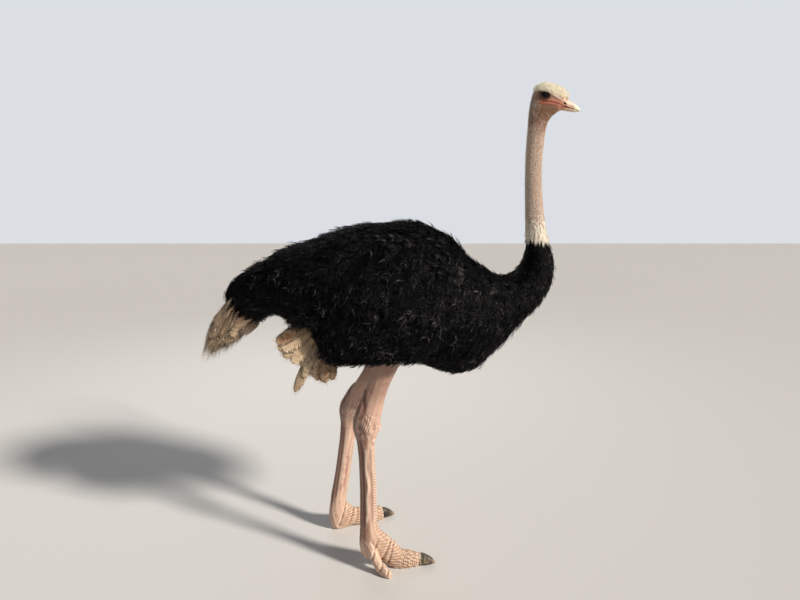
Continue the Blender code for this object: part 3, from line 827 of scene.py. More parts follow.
head_tree = BVHTree.FromPolygons(skin_arrays[0].tolist(), skin_arrays[1].tolist())
for side in (1, -1):
    skin_arrays = joined_or_cut(skin_arrays, make_lids(side, head_tree), "UNION")
skin_points, skin_triangles = skin_arrays
print(f"lids of {len(LID_RINGS)} rings; skin now {len(skin_triangles)} triangles")

# %% [markdown]
# ## Effects shared by several finishes
# Blotches, fine wrinkles, plates and dust are found on more than one material. Each is a node
# group: built once, with named inputs, and placed in every material that needs it with its own
# values. A change to the group then reaches all of them.

# %% Node groups
def new_group(name, inputs, outputs):
    """An empty shader group. inputs and outputs give each socket's name and its kind."""
    group = bpy.data.node_groups.new(name, "ShaderNodeTree")
    for way, sockets in (("INPUT", inputs), ("OUTPUT", outputs)):
        for socket, kind in sockets.items():
            group.interface.new_socket(socket, in_out=way, socket_type="NodeSocket" + kind)
    return group, group.nodes.new("NodeGroupInput").outputs, group.nodes.new("NodeGroupOutput").inputs


def use_group(tree, group, **inputs):
    """A group placed in a tree, with its inputs set or linked; gives its outputs."""
    node = tree.nodes.new("ShaderNodeGroup")
    node.node_tree = group
    for name, value in inputs.items():
        socket = node.inputs[name.replace("_", " ")]
        if isinstance(value, bpy.types.NodeSocket):
            tree.links.new(value, socket)
        else:
            socket.default_value = value
    return node.outputs


def mixed(tree, factor, first, second, blend="MIX"):
    """The colour between two colours."""
    node = add_node(tree, "Mix", data_type="RGBA", blend_type=blend)
    for socket, value in ((node.inputs[0], factor), (node.inputs[6], first), (node.inputs[7], second)):
        if isinstance(value, bpy.types.NodeSocket):
            tree.links.new(value, socket)
        else:
            socket.default_value = value
    return node.outputs[2]


def sums(tree, operation, first, second=0.0):
    """One Math node's value."""
    return add_node(tree, "Math", {0: first, 1: second}, operation=operation).outputs[0]


def times(tree, first, *others):
    """The product of several values."""
    for other in others:
        first = sums(tree, "MULTIPLY", first, other)
    return first


def mask_of(tree, name):
    """A number kept on the points."""
    return add_node(tree, "Attribute", attribute_name=name).outputs["Fac"]


def own_place(tree):
    """Places in the piece's own coordinates, so that a pattern stays on it."""
    return add_node(tree, "TexCoord").outputs["Object"]


def vary_roughness(tree, shader, mask, least, most):
    """Roughness that follows a mask."""
    tree.links.new(ranged(tree, mask, after=(least, most)), shader.inputs["Roughness"])


def raise_grain(tree, shader, height, strength, distance):
    """Relief too fine to be worth points of its own."""
    bump = add_node(tree, "Bump", {"Height": height, "Strength": strength, "Distance": distance})
    tree.links.new(bump.outputs["Normal"], shader.inputs["Normal"])


def build_blotches():
    """Soft patches of a second colour over a first."""
    tree, given, out = new_group("blotches", {"Colour": "Color", "Patch": "Color", "Scale": "Float",
                                              "Cover": "Float", "Softness": "Float"},
                                 {"Colour": "Color", "Mask": "Float"})
    place = own_place(tree)
    noise = add_node(tree, "TexNoise", {"Vector": place, "Scale": given["Scale"], "Detail": 5.0,
                                        "Roughness": 0.6})
    low = sums(tree, "SUBTRACT", 1.0, given["Cover"])
    high = sums(tree, "ADD", low, given["Softness"])
    mask = ranged(tree, noise.outputs["Fac"], (low, high), kind="SMOOTHSTEP")
    tree.links.new(mask, out["Mask"])
    tree.links.new(mixed(tree, mask, given["Colour"], given["Patch"]), out["Colour"])
    return tree


def build_wrinkles():
    """Fine folds of skin or lines of growth, stretched along an axis."""
    tree, given, out = new_group("wrinkles", {"Stretch": "Vector", "Scale": "Float", "Depth": "Float"},
                                 {"Height": "Float"})
    place = own_place(tree)
    stretched = add_node(tree, "VectorMath", {0: place, 1: given["Stretch"]}, operation="MULTIPLY")
    noise = add_node(tree, "TexNoise", {"Vector": stretched.outputs[0], "Scale": given["Scale"],
                                        "Detail": 4.0, "Roughness": 0.55, "Distortion": 0.6})
    folded = sums(tree, "ABSOLUTE", sums(tree, "SUBTRACT", noise.outputs["Fac"], 0.5))
    tree.links.new(times(tree, folded, given["Depth"]), out["Height"])
    return tree


def build_plates():
    """Small plates with darker lines between them, as on the feet."""
    tree, given, out = new_group("plates", {"Scale": "Float", "Depth": "Float"},
                                 {"Height": "Float", "Line": "Float"})
    place = own_place(tree)
    cells = add_node(tree, "TexVoronoi", {"Vector": place, "Scale": given["Scale"], "Randomness": 0.8},
                     feature="DISTANCE_TO_EDGE")
    flat = ranged(tree, cells.outputs["Distance"], (0.0, 0.16), kind="SMOOTHSTEP")
    tree.links.new(sums(tree, "SUBTRACT", 1.0, flat), out["Line"])
    tree.links.new(times(tree, flat, given["Depth"]), out["Height"])
    return tree


def build_dust():
    """Pale earth that clings near the floor and in patches."""
    tree, given, out = new_group("dust", {"Colour": "Color", "Dust": "Color", "Reach": "Float",
                                          "Amount": "Float"}, {"Colour": "Color", "Mask": "Float"})
    place = own_place(tree)
    height = add_node(tree, "SeparateXYZ", {"Vector": place}).outputs["Z"]
    low = ranged(tree, height, (0.0, given["Reach"]), (1.0, 0.0))
    noise = add_node(tree, "TexNoise", {"Vector": place, "Scale": 34.0, "Detail": 6.0, "Roughness": 0.7})
    mask = times(tree, low, ranged(tree, noise.outputs["Fac"], (0.42, 0.64)), given["Amount"])
    tree.links.new(mask, out["Mask"])
    tree.links.new(mixed(tree, mask, given["Colour"], given["Dust"]), out["Colour"])
    return tree


def build_plume_tone():
    """A feather's colour from root to tip, a little different on each feather and each barb."""
    tree, given, out = new_group("plume tone", {"Root": "Color", "Tip": "Color", "Vary": "Float",
                                                "Streaks": "Float"}, {"Colour": "Color", "Strand": "Float"})
    blended = mixed(tree, mask_of(tree, "along"), given["Root"], given["Tip"])
    tone = mask_of(tree, "tone")
    place = add_node(tree, "CombineXYZ", {"X": times(tree, mask_of(tree, "barb"), 46.0),
                                          "Y": times(tree, tone, 71.0)}).outputs[0]
    barb = add_node(tree, "TexNoise", {"Vector": place, "Scale": 1.0, "Detail": 2.0}).outputs["Fac"]
    tree.links.new(barb, out["Strand"])
    streak = times(tree, sums(tree, "SUBTRACT", barb, 0.5), given["Streaks"])
    least, most = (sums(tree, way, 1.0, given["Vary"]) for way in ("SUBTRACT", "ADD"))
    own = ranged(tree, tone, after=(least, most))
    both = sums(tree, "ADD", own, streak)
    shade = add_node(tree, "CombineColor", {"Red": both, "Green": both, "Blue": both}).outputs["Color"]
    tree.links.new(mixed(tree, 1.0, blended, shade, "MULTIPLY"), out["Colour"])
    return tree


BLOTCHES, WRINKLES, PLATES = build_blotches(), build_wrinkles(), build_plates()
DUST, PLUME_TONE = build_dust(), build_plume_tone()
print("groups:", ", ".join(group.name for group in bpy.data.node_groups))

# %% [markdown]
# ## The bare skin
# Neck and face are a pinkish brown, flushed red along the gape; the legs are a dusty flesh pink,
# and the scutes and toes are pale. Painted shade darkens the lower face, the throat under the jaw,
# the line where the lips meet, the top of the thigh under the body, the rear of each leg in mauve,
# and the hollows and folds. Ridges carry a painted highlight, and under the plumage the skin is
# painted near-black as the shade deep in the coat. One material holds them all, because it is one
# skin: each mask lays its colour over the last. Painting by hand would tie the colours to this one
# mesh.

# %% Skin material
# Colours laid over the skin, in order: the mask each follows, how well it covers, and its paint.
# The first is a painted highlight on ridges; the next four are painted shade in hollows, on the
# lower face, on the thigh under the body and under the jaw. The dark line along the gape is
# painted shade where the lips meet.
SKIN_LAYERS = (("ridge_highlight", 0.66, (246, 226, 204)), ("hollow", 0.75, (120, 82, 72)),
               ("cheek", 0.74, (136, 102, 82)), ("thigh", 0.62, (128, 94, 80)),
               ("jaw_shadow", 0.86, (108, 74, 54)), ("gape", 0.85, (186, 102, 79)),
               ("mouth_line", 0.85, (96, 42, 34)), ("muzzle", 0.45, (212, 158, 132)),
               ("lid", 0.88, (98, 62, 54)), ("lid_edge", 0.90, (40, 24, 24)),
               ("ear", 0.60, (104, 72, 60)), ("crown", 0.85, (240, 228, 200)))


def build_skin_look():
    material, tree, shader = new_material("bare_skin", Roughness=0.60, Specular_IOR_Level=0.32)

    def lay(under, mask, share, colour):
        """A colour laid over another where a mask is."""
        return mixed(tree, times(tree, mask_of(tree, mask), share), under, paint(*colour))

    neck = use_group(tree, BLOTCHES, Colour=paint(180, 146, 126), Patch=paint(126, 94, 78), Scale=230.0,
                     Cover=0.50, Softness=0.10)
    wide = use_group(tree, BLOTCHES, Colour=neck["Colour"], Patch=paint(170, 134, 116), Scale=16.0,
                     Cover=0.50, Softness=0.22)
    leg = use_group(tree, BLOTCHES, Colour=paint(208, 172, 152), Patch=paint(176, 134, 118), Scale=26.0,
                    Cover=0.50, Softness=0.20)
    flecked = use_group(tree, BLOTCHES, Colour=leg["Colour"], Patch=paint(228, 202, 182), Scale=150.0,
                        Cover=0.37, Softness=0.12)
    colour = mixed(tree, mask_of(tree, "leg"), wide["Colour"], flecked["Colour"])
    # Painted shade in mauve on the rear of the legs.
    colour = lay(colour, "shaded", 0.92, (116, 78, 66))
    # The lines of the hock's fine folds are darkened with painted shade.
    folds = use_group(tree, WRINKLES, Stretch=(0.8, 0.8, 3.2), Scale=42.0, Depth=5.0)
    fold_shade = ranged(tree, folds["Height"], (0.0, 0.30), (0.48, 0.0))
    colour = lay(colour, "creased", fold_shade, (150, 104, 88))
    plates = use_group(tree, PLATES, Scale=210.0, Depth=1.0)
    colour = lay(colour, "scaly", 0.60, (176, 140, 112))
    colour = lay(colour, "scaly", times(tree, plates["Line"], 0.45), (150, 110, 86))
    for mask, share, layer in SKIN_LAYERS:
        colour = lay(colour, mask, share, layer)
    dusty = use_group(tree, DUST, Colour=colour, Dust=paint(196, 164, 130), Reach=0.30, Amount=0.50)
    # Under the plumage the skin is painted near-black: painted shade among the plumes.
    colour = mixed(tree, mask_of(tree, "feathered"), dusty["Colour"], paint(9, 8, 9))
    tree.links.new(colour, shader.inputs["Base Color"])
    fine = use_group(tree, WRINKLES, Stretch=(1.0, 1.0, 2.4), Scale=120.0, Depth=0.9)
    plate_height = times(tree, plates["Height"], mask_of(tree, "scaly"), 0.35)
    fold_height = times(tree, folds["Height"], mask_of(tree, "creased"), 0.45)
    height = sums(tree, "ADD", sums(tree, "ADD", fine["Height"], plate_height), fold_height)
    raise_grain(tree, shader, height, 0.8, 0.0016)
    vary_roughness(tree, shader, wide["Mask"], 0.50, 0.68)
    return material


FLESH = BODY_NODES + ("head", "neck")
FLESH += tuple(part + side for side in ("left", "right") for part in LEG_PARTS)
skin = make_mesh("skin", skin_points, skin_triangles, skin_masks(skin_points, skin_triangles))
finish_piece(skin, build_skin_look(), FLESH)

# %% [markdown]
# ## Feathers as meshes
# Particle hair would be quicker to comb, but it is lost when a model is exported, so every
# feather here is a small closed mesh. An ostrich's barbs have no hooks to zip them together: a
# plume is a shaft with loose threads down both sides. A template holds one such plume in flat
# coordinates, (share of its length, share of its half width, height off its plane), and is then
# bent along a spine for each feather. The long pale plumes keep their threads together near the
# shaft, so their templates also hold a thin web.

# %% Plume templates
class Template:
    """Closed shapes in flat coordinates; a fourth number says where a barb leaves the shaft."""

    def __init__(self):
        self.places = []
        self.triangles = []

    def loft(self, rings):
        """A closed shape through rings of points, between a single point at either end."""
        starts = []
        for ring in rings:
            starts.append(len(self.places))
            self.places.extend(ring)
        triangles = []
        sides = len(rings[1])
        for corner in range(sides):
            after = (corner + 1) % sides
            triangles.append((starts[0], starts[1] + after, starts[1] + corner))
            for low, high in zip(starts[1:-2], starts[2:-1]):
                triangles.append((low + corner, low + after, high + after))
                triangles.append((low + corner, high + after, high + corner))
            triangles.append((starts[-2] + corner, starts[-2] + after, starts[-1]))
        if np.linalg.det(np.array(self.places)[:, :3][np.array(triangles)]).sum() > 0:
            triangles = [triangle[::-1] for triangle in triangles]
        self.triangles.extend(triangles)

    def arrays(self):
        return np.array(self.places), np.array(self.triangles)


def vane_template(barbs, rng, sweep, barb_width, taper, curl, ruffle, shaft, thickness, bends=1,
                  bare=0.06, cup=0.20, web=0.0):
    """One plume. taper gives its half width at its root, at two shares between, and at its tip.

    web is how far out its barbs hang together as one thin sheet, as a share of their length.
    """
    made = Template()
    made.loft([[(0.0, 0.0, 0.0, 0.0)],
               [(0.35, -shaft, 0.0, 0.0), (0.35, shaft, 0.0, 0.0), (0.35, 0.0, 1.4 * shaft, 0.0)],
               [(0.97, 0.0, 0.0, 1.0)]])

    last = 1 - 0.45 * sweep

    def half_width(at):
        """The plume's half width at a share of its length, blunt at the tip of a webbed one."""
        blunt = math.sqrt(1 - np.clip((at / last - 0.60) / 0.43, 0.0, 1.0) ** 2) if web else 1.0
        return np.interp(at, (0.0, 0.30, 0.75, 1.0), taper) * blunt

    half_gap = barb_width * (1 - bare) / barbs / 2
    for index in range(barbs):
        for side in (-1, 1):
            at = bare + (last - bare) * (index + 0.5 + rng.uniform(-0.3, 0.3)) / barbs
            wide = side * half_width(at) * rng.uniform(0.74, 1.10)
            lean = sweep * rng.uniform(0.5, 1.5) * (1 - 0.6 * at)
            drop, swirl, hook = rng.uniform((-ruffle, -curl, -curl), (ruffle, curl, curl))

            def barb_at(t):
                """A barb's middle line, from the shaft at 0 to its own tip at 1."""
                across = wide * math.sin(1.45 * t) / math.sin(1.45)
                lift = drop * t - cup * across ** 2 + swirl * math.sin(2.6 * t)
                return at + lean * t ** 1.5 + 0.15 * hook * t ** 3, across, lift, at

            rings = [[barb_at(0.0)]]
            for bend in range(1, bends + 1):
                along, across, lift, _ = barb_at(bend / (bends + 1))
                rings.append([(along - half_gap, across, lift, at), (along + half_gap, across, lift, at),
                              (along, across, lift - thickness, at)])
            rings.append([barb_at(1.0)])
            made.loft(rings)
    if web > 0:
        rings = [[(bare / 2, 0.0, 0.0, 0.0)]]
        for at in np.linspace(bare, last - 0.02, 12):
            ripple = rng.uniform(-0.06, 0.06, 5)
            top = []
            for place, share in enumerate((-1.0, -0.5, 0.0, 0.5, 1.0)):
                across = share * web * half_width(at)
                along = at + sweep * (1 - at / last) * abs(share * web) ** 1.5
                top.append((along, across, ripple[place] - cup * across ** 2, at))
            rings.append(top + [(x, y, z - thickness, b) for x, y, z, b in top[3:0:-1]])
        rings.append([(last + 0.02, 0.0, 0.0, last)])
        made.loft(rings)
    return made.arrays()


def lay_plumes(spines, faces, half_widths, templates, rng):
    """Bends templates along spines.

    It gives points, triangles, each point's plume, and each point's (share, across, barb).
    """
    steps = spines.shape[1] - 1
    ways = unit(np.gradient(spines, axis=1))
    faces = unit(faces - (faces * ways).sum(axis=2, keepdims=True) * ways)
    sides = np.cross(ways, faces)
    choice = rng.integers(len(templates), size=len(spines))
    points, triangles, owners, shares, count = [], [], [], [], 0
    for kind, (shape, shape_triangles) in enumerate(templates):
        mine = np.flatnonzero(choice == kind)
        at = shape[:, 0] * steps
        level = np.clip(at.astype(int), 0, steps - 1)
        part = (at - level)[None, :, None]

        def along_spine(rows):
            """Rows that go with the spines' steps, taken at the template's own places."""
            return rows[mine][:, level] * (1 - part) + rows[mine][:, level + 1] * part

        wide = half_widths[mine][:, None, None]
        made = along_spine(spines) + along_spine(sides) * shape[None, :, 1:2] * wide
        made = made + along_spine(faces) * shape[None, :, 2:3] * wide
        size = len(shape)
        offset = count + size * np.arange(len(mine))
        points.append(made.reshape(-1, 3))
        triangles.append((shape_triangles[None] + offset[:, None, None]).reshape(-1, 3))
        owners.append(np.repeat(mine, size))
        shares.append(np.tile(shape[:, [0, 1, 3]], (len(mine), 1)))
        count += size * len(mine)
    return np.concatenate(points), np.concatenate(triangles), np.concatenate(owners), np.concatenate(shares)


# %% [markdown]
# Each plume also needs a small patch of its own on a flat map, so that its colours can be kept
# in a picture later. The map is the skin unrolled: round the body one way, along it the other.
# A plume's patch lies where its root is on that map.

# %% Unrolled skin and coat pieces
PATCH = 0.003


def unrolled(points, axis_start, axis_end):
    """Places on the skin unrolled round an axis: round it, then along it, each from 0 to 1."""
    axis_start, axis_end = np.array(axis_start), np.array(axis_end)
    axis = axis_end - axis_start
    length = np.linalg.norm(axis)
    axis = axis / length
    level = unit(np.cross(axis, (0.0, 1.0, 0.0)))
    away = points - axis_start
    turn = np.arctan2(away[:, 1], away @ level) / (2 * math.pi) + 0.5
    along = (away @ axis) / length
    low, high = along.min(), along.max()
    return np.stack([0.01 + 0.98 * turn, 0.01 + 0.98 * (along - low) / max(high - low, 1e-6)], 1)


def coat_piece(name, spines, faces, half_widths, templates, rng, axis, material, replaced=(),
               smooth=False, extra=None):
    """A coat piece of many plumes with its masks and its map."""
    points, triangles, owners, shares = lay_plumes(spines, faces, half_widths, templates, rng)
    tone = rng.random(len(spines))
    masks = {"along": np.clip(shares[:, 0], 0, 1), "across": np.abs(shares[:, 1]), "barb": shares[:, 2],
             "tone": tone[owners]}
    for mask, values in (extra or {}).items():
        masks[mask] = values[owners]
    roots = unrolled(spines[:, 0], *axis)[owners]
    patch = np.stack([shares[:, 1] / 2, shares[:, 0] - 0.5], 1)
    flat_map = roots + PATCH * np.clip(patch, -0.5, 0.5)
    piece = make_mesh(name, points, triangles, masks, flat_map, smooth)
    return finish_piece(piece, material, replaced)


# %% [markdown]
# ### Where feathers grow and how they lie
# Roots are scattered over the surface with a least distance between them, as follicles are.
# From each root a spine walks over the outer surface, always turning to the lie of the coat
# there, while it rises from the skin to the surface: so feathers wrap round the body instead of
# poking out of it.

# %% Scatter and comb
TRIES_PER_PLACE = 4


def scatter(surface, spacing, allowed, rng):
    """Points and normals spread over a surface, spacing apart, where allowed(points) is above 0."""
    a, b, c = (surface.points[surface.triangles[:, corner]] for corner in range(3))
    area = np.linalg.norm(np.cross(b - a, c - a), axis=1) / 2
    weight = area * (allowed((a + b + c) / 3) > 0)
    total = int(TRIES_PER_PLACE * weight.sum() / spacing ** 2)
    picked = rng.choice(len(area), total, p=weight / weight.sum())
    u, v = rng.random((2, total))
    over = u + v > 1
    u[over], v[over] = 1 - u[over], 1 - v[over]
    points = a[picked] + u[:, None] * (b - a)[picked] + v[:, None] * (c - a)[picked]
    kept, taken_cells = [], {}
    near = [(i, j, k) for i in (-1, 0, 1) for j in (-1, 0, 1) for k in (-1, 0, 1)]
    cells = np.floor(points / spacing).astype(int)
    for index, (point, cell) in enumerate(zip(points.tolist(), cells.tolist())):
        taken = False
        for i, j, k in near:
            for other in taken_cells.get((cell[0] + i, cell[1] + j, cell[2] + k), ()):
                if sum((p - q) ** 2 for p, q in zip(point, other)) < spacing ** 2:
                    taken = True
                    break
            if taken:
                break
        if not taken:
            taken_cells.setdefault(tuple(cell), []).append(point)
            kept.append(index)
    points = points[kept]
    points = points[allowed(points) > 0]
    return surface.nearest(points)


def comb(surface, roots, normals, lengths, lie, sink, steps, yaw, rise, loose, droop, rng):
    """Spines that follow a surface from sunken roots to tips on it, and the faces of their vanes."""
    path, outs = [roots], [normals]
    place, out = roots, normals
    for _ in range(steps):
        way = lie(place, out)
        way = unit(way - (way * out).sum(axis=1, keepdims=True) * out)
        turned = way * np.cos(yaw)[:, None] + np.cross(out, way) * np.sin(yaw)[:, None]
        place, out = surface.nearest(place + turned * (lengths / steps)[:, None])
        path.append(place)
        outs.append(out)
    spines, outs = np.stack(path, 1), np.stack(outs, 1)
    share = np.linspace(0, 1, steps + 1)
    height = -sink[:, None] * (1 - share) ** 1.6 + (rise * lengths)[:, None] * share ** 2
    spines = spines + outs * height[:, :, None]
    stray = rng.normal(size=(len(roots), 1, 3)) * (loose * lengths)[:, None, None]
    stray[:, :, 2] -= (droop * lengths)[:, None]
    return spines + stray * (share ** 2)[None, :, None], outs


# %% [markdown]
# ### Black plumage
# A cock's body is black all over, loose and shaggy. On the back the plumes run to the tail, on
# the flanks and wings they hang down and back, and on the lower neck they run down to the
# breast. `lie_of_coat` blends those directions by which way the skin faces. The barbs are swept
# well back, or the coat would look like leaves, and the plumes lie in low lumps.

# %% Black plume material
def build_black_look():
    material, tree, shader = new_material("black_plume", Roughness=0.58, Specular_IOR_Level=0.08)
    tone = use_group(tree, PLUME_TONE, Root=paint(1, 1, 2), Tip=paint(4, 4, 6), Vary=0.55, Streaks=0.6)
    worn = use_group(tree, BLOTCHES, Colour=tone["Colour"], Patch=paint(8, 6, 6), Scale=5.0, Cover=0.40,
                     Softness=0.16)
    # Pale strands, on a few plumes and towards their tips, are painted highlights: glints on the barbs.
    strands = ranged(tree, tone["Strand"], (0.50, 0.64))
    plumes = ranged(tree, mask_of(tree, "tone"), (0.74, 0.94), (0.10, 1.0))
    painted_glints = times(tree, strands, plumes, mask_of(tree, "along"))
    colour = mixed(tree, painted_glints, worn["Colour"], paint(98, 94, 96))
    tree.links.new(colour, shader.inputs["Base Color"])
    vary_roughness(tree, shader, mask_of(tree, "tone"), 0.44, 0.80)
    fibres = use_group(tree, WRINKLES, Stretch=(1.0, 1.0, 1.0), Scale=900.0, Depth=0.6)
    raise_grain(tree, shader, fibres["Height"], 0.3, 0.0005)
    return material


black_look = build_black_look()

# %% Lie of the coat
BACKWARD = np.array([-1.0, 0.0, -0.10])
HANGING = np.array([-0.55, 0.0, -0.84])
DOWN_NECK = np.array([-0.22, 0.0, -1.0])


def lie_of_coat(points, normals):
    """Which way the plumes run at each place."""
    x, _, z = points.T
    flank = ease(np.abs(normals[:, 1]), 0.25, 0.85)[:, None]
    way = BACKWARD * (1 - flank) + HANGING * flank
    neck = (ease(x, neck_start - 0.05, neck_start + 0.12) * ease(z, 1.02, 1.22))[:, None]
    way = way * (1 - neck) + DOWN_NECK * neck
    swirl = 0.30 * np.sin(31 * x + 17 * z) * np.sin(23 * z - 13 * x)
    return way + np.stack([swirl * 0.4, 0.25 * swirl, swirl], 1)


# %% Black plumage pieces
BODY_AXIS = ((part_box("tail")[0].x, 0.0, 1.20), (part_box("neck_base")[1].x, 0.0, 1.20))
PLUME_GAP = 0.0122 if FULL_DETAIL else 0.022
NECK_GAP = 0.0090 if FULL_DETAIL else 0.017
PLUME_LENGTH = 0.100
PLUME_HALF_WIDTH = 0.022
PLUME_STEPS = 4
COLLAR_TOP = collar_height + 0.020

BACK_HEIGHT = 1.36
WING_FOOT = 1.14
THROAT_FOOT = 1.16
NECK_BASE_FOOT = 1.22
RUMP_START = -0.42

# A plume belongs to the first piece whose region holds its root.
REGIONS = {
    "plumage_back": lambda x, y, z: (z > BACK_HEIGHT) & (x < neck_start),
    "plumage_neck_base": lambda x, y, z: (x > neck_start + 0.04) & (z > NECK_BASE_FOOT),
    "plumage_breast": lambda x, y, z: (x >= neck_start - 0.06) & (z <= BACK_HEIGHT) | (x >= neck_start),
    "plumage_rump": lambda x, y, z: x <= RUMP_START,
    "plumage_wing_right": lambda x, y, z: (y < 0) & (z > WING_FOOT),
    "plumage_wing_left": lambda x, y, z: (y >= 0) & (z > WING_FOOT),
    "plumage_belly_right": lambda x, y, z: y < 0,
    "plumage_belly_left": lambda x, y, z: y >= 0,
}


def on_neck_base(points):
    """Whether each place is on the foot of the neck, where the plumes are short and close."""
    return (points[:, 0] > neck_start - 0.06) & (points[:, 2] > THROAT_FOOT)


def lumps_at(points):
    """Above 0 where tufts of the coat stand up, and below 0 where it dips."""
    x, y, z = points.T
    wide = np.sin(17 * x + 9 * z + 2.1) * np.sin(21 * z - 8 * x + 0.6)
    return wide + 0.7 * np.sin(43 * x - 24 * z) * np.sin(38 * z + 19 * x + 11 * y)


rng = np.random.default_rng(11)
black_templates = [vane_template(9, rng, sweep=0.44, barb_width=0.46, taper=(0.6, 1.0, 0.95, 0.60),
                                 curl=0.15, ruffle=0.24, shaft=0.022, thickness=0.05, bare=0.10)
                   for _ in range(8)]
found = [scatter(outer, PLUME_GAP, lambda p: ~on_neck_base(p), rng),
         scatter(outer, NECK_GAP, lambda p: on_neck_base(p) & (p[:, 2] < COLLAR_TOP), rng)]
roots, root_normals = (np.concatenate(kind) for kind in zip(*found))
on_neck = ease(roots[:, 0], neck_start - 0.02, neck_start + 0.10) * ease(roots[:, 2], 1.02, 1.25)
lengths = PLUME_LENGTH * (1 - 0.45 * on_neck) * rng.uniform(0.75, 1.25, len(roots))
half_widths = PLUME_HALF_WIDTH * (1 - 0.35 * on_neck) * rng.uniform(0.8, 1.2, len(roots))
yaw = rng.normal(0, 0.42, len(roots))
rise = 0.10 * (rng.random(len(roots)) < 0.15)
spines, vane_faces = comb(outer, roots, root_normals, lengths, lie_of_coat, coat_depth(roots) * 0.9,
                          PLUME_STEPS, yaw, rise, loose=0.05, droop=0.01, rng=rng)
lifted = 0.0070 * lumps_at(roots) * (1 - on_neck)
spines = spines + vane_faces * (lifted[:, None] * np.linspace(0, 1, PLUME_STEPS + 1))[:, :, None]
print(f"{len(roots)} black plumes of {len(black_templates[0][1])} triangles")
sorted_out = np.zeros(len(roots), bool)
for name, chosen in REGIONS.items():
    mine = chosen(*roots.T) & ~sorted_out
    sorted_out |= mine
    coat_piece(name, spines[mine], vane_faces[mine], half_widths[mine], black_templates, rng, BODY_AXIS,
               black_look)

# %% [markdown]
# ## Eyes
# The eyes are as big as table-tennis balls, but the lids show only their middle: a black pupil
# in a brown iris so dark that the two run together. The clear front is a second, glossy layer,
# which Blender calls a coat. The ball is turned round the line that it looks along, so that its
# rings are rings of the iris.

# %% Eyeballs
EYE_RINGS, EYE_SIDES = 30, 56
IRIS, PUPIL = 0.0132, 0.0078
BULGE = 0.035
EYE_SUNK = 0.0004
BEHIND_IRIS = 0.02


def build_eye_look():
    material, tree, shader = new_material("eye", Roughness=0.40, Coat_Weight=0.22, Coat_Roughness=0.03,
                                          Specular_IOR_Level=0.1)
    reach = mask_of(tree, "reach")
    streaks = add_node(tree, "TexNoise", {"Vector": own_place(tree), "Scale": 420.0, "Detail": 3.0})
    brown = mixed(tree, streaks.outputs["Fac"], paint(16, 7, 4), paint(36, 17, 9))
    colour = mixed(tree, ranged(tree, reach, (IRIS - 0.0016, IRIS)), brown, paint(16, 10, 9))
    outside_pupil = ranged(tree, reach, (PUPIL - 0.0004, PUPIL + 0.0006))
    colour = mixed(tree, outside_pupil, paint(4, 3, 3), colour)
    tree.links.new(colour, shader.inputs["Base Color"])
    return material


def make_eyeball(name, side):
    """An eyeball with its pole in the middle of the pupil."""
    polar = np.linspace(0, math.pi, EYE_RINGS + 1)[1:-1]
    turn = np.arange(EYE_SIDES) * 2 * math.pi / EYE_SIDES
    polar, turn = (grid.ravel() for grid in np.meshgrid(polar, turn, indexing="ij"))
    reach = np.sin(polar)
    bulge = 1 + BULGE * np.exp(-(reach / 0.42) ** 2) * (polar < math.pi / 2)
    rings = np.stack([EYE_RADII[0] * reach * np.cos(turn),
                      side * (EYE_OUT + EYE_RADII[1] * np.cos(polar) * bulge - EYE_SUNK),
                      EYE_RADII[2] * reach * np.sin(turn)], 1)
    poles = np.array([[0, side * (EYE_OUT + EYE_RADII[1] * (1 + BULGE) - EYE_SUNK), 0],
                      [0, side * (EYE_OUT - EYE_RADII[1]), 0]])
    points = np.concatenate([rings, poles])
    triangles, front, back = [], len(rings), len(rings) + 1
    for level in range(EYE_RINGS - 2):
        for corner in range(EYE_SIDES):
            a, b = level * EYE_SIDES + corner, level * EYE_SIDES + (corner + 1) % EYE_SIDES
            triangles += [(a, b, b + EYE_SIDES), (a, b + EYE_SIDES, a + EYE_SIDES)]
    last = (EYE_RINGS - 2) * EYE_SIDES
    for corner in range(EYE_SIDES):
        after = (corner + 1) % EYE_SIDES
        triangles += [(front, after, corner), (back, last + corner, last + after)]
    triangles = np.array(triangles)
    if side > 0:
        triangles = triangles[:, ::-1]
    reach = np.hypot(points[:, 0], points[:, 2])
    reach[points[:, 1] * side < EYE_OUT] = BEHIND_IRIS
    return make_mesh("eyeball_" + name, from_head(points), triangles, {"reach": reach})


eye_look = build_eye_look()
for name, side in (("left", 1), ("right", -1)):
    finish_piece(make_eyeball(name, side), eye_look, ("eye_" + name,))

# %% [markdown]
# ## Bill
# The bill is soft at its root and horny at its tip, where a pale nail curves over. Its two
# halves are cut from one fine remesh of head and bill, so they carry on the head's lines exactly.
# Their rear edges dive under the skin, as the horn of a real bill does.

# %% Bill
BILL_VOXEL = 0.0009
NOSTRIL = (0.0892, -0.0062)
NOSTRIL_SIZE = (0.0090, 0.0044)
NOSTRIL_LEAN = math.radians(-14)
NOSTRIL_STREAK = ((0.099, -0.0085), (0.112, -0.0103), (0.132, -0.0125))
NAIL_START = 0.1300
BILL_TOP = 0.0165
HALF_GAP = 0.0003


def head_box(low, high):
    """A box square to the head's frame."""
    points, triangles = box_arrays(low, high)
    return from_head(points), triangles


def nostril_distance(places):
    """How far out from the middle of a nostril, with 1 on its edge; it leans down to the tip."""
    away = places[:, [0, 2]] - NOSTRIL
    along = away[:, 0] * math.cos(NOSTRIL_LEAN) + away[:, 1] * math.sin(NOSTRIL_LEAN)
    across = away[:, 1] * math.cos(NOSTRIL_LEAN) - away[:, 0] * math.sin(NOSTRIL_LEAN)
    return np.hypot(along / NOSTRIL_SIZE[0], across / NOSTRIL_SIZE[1])


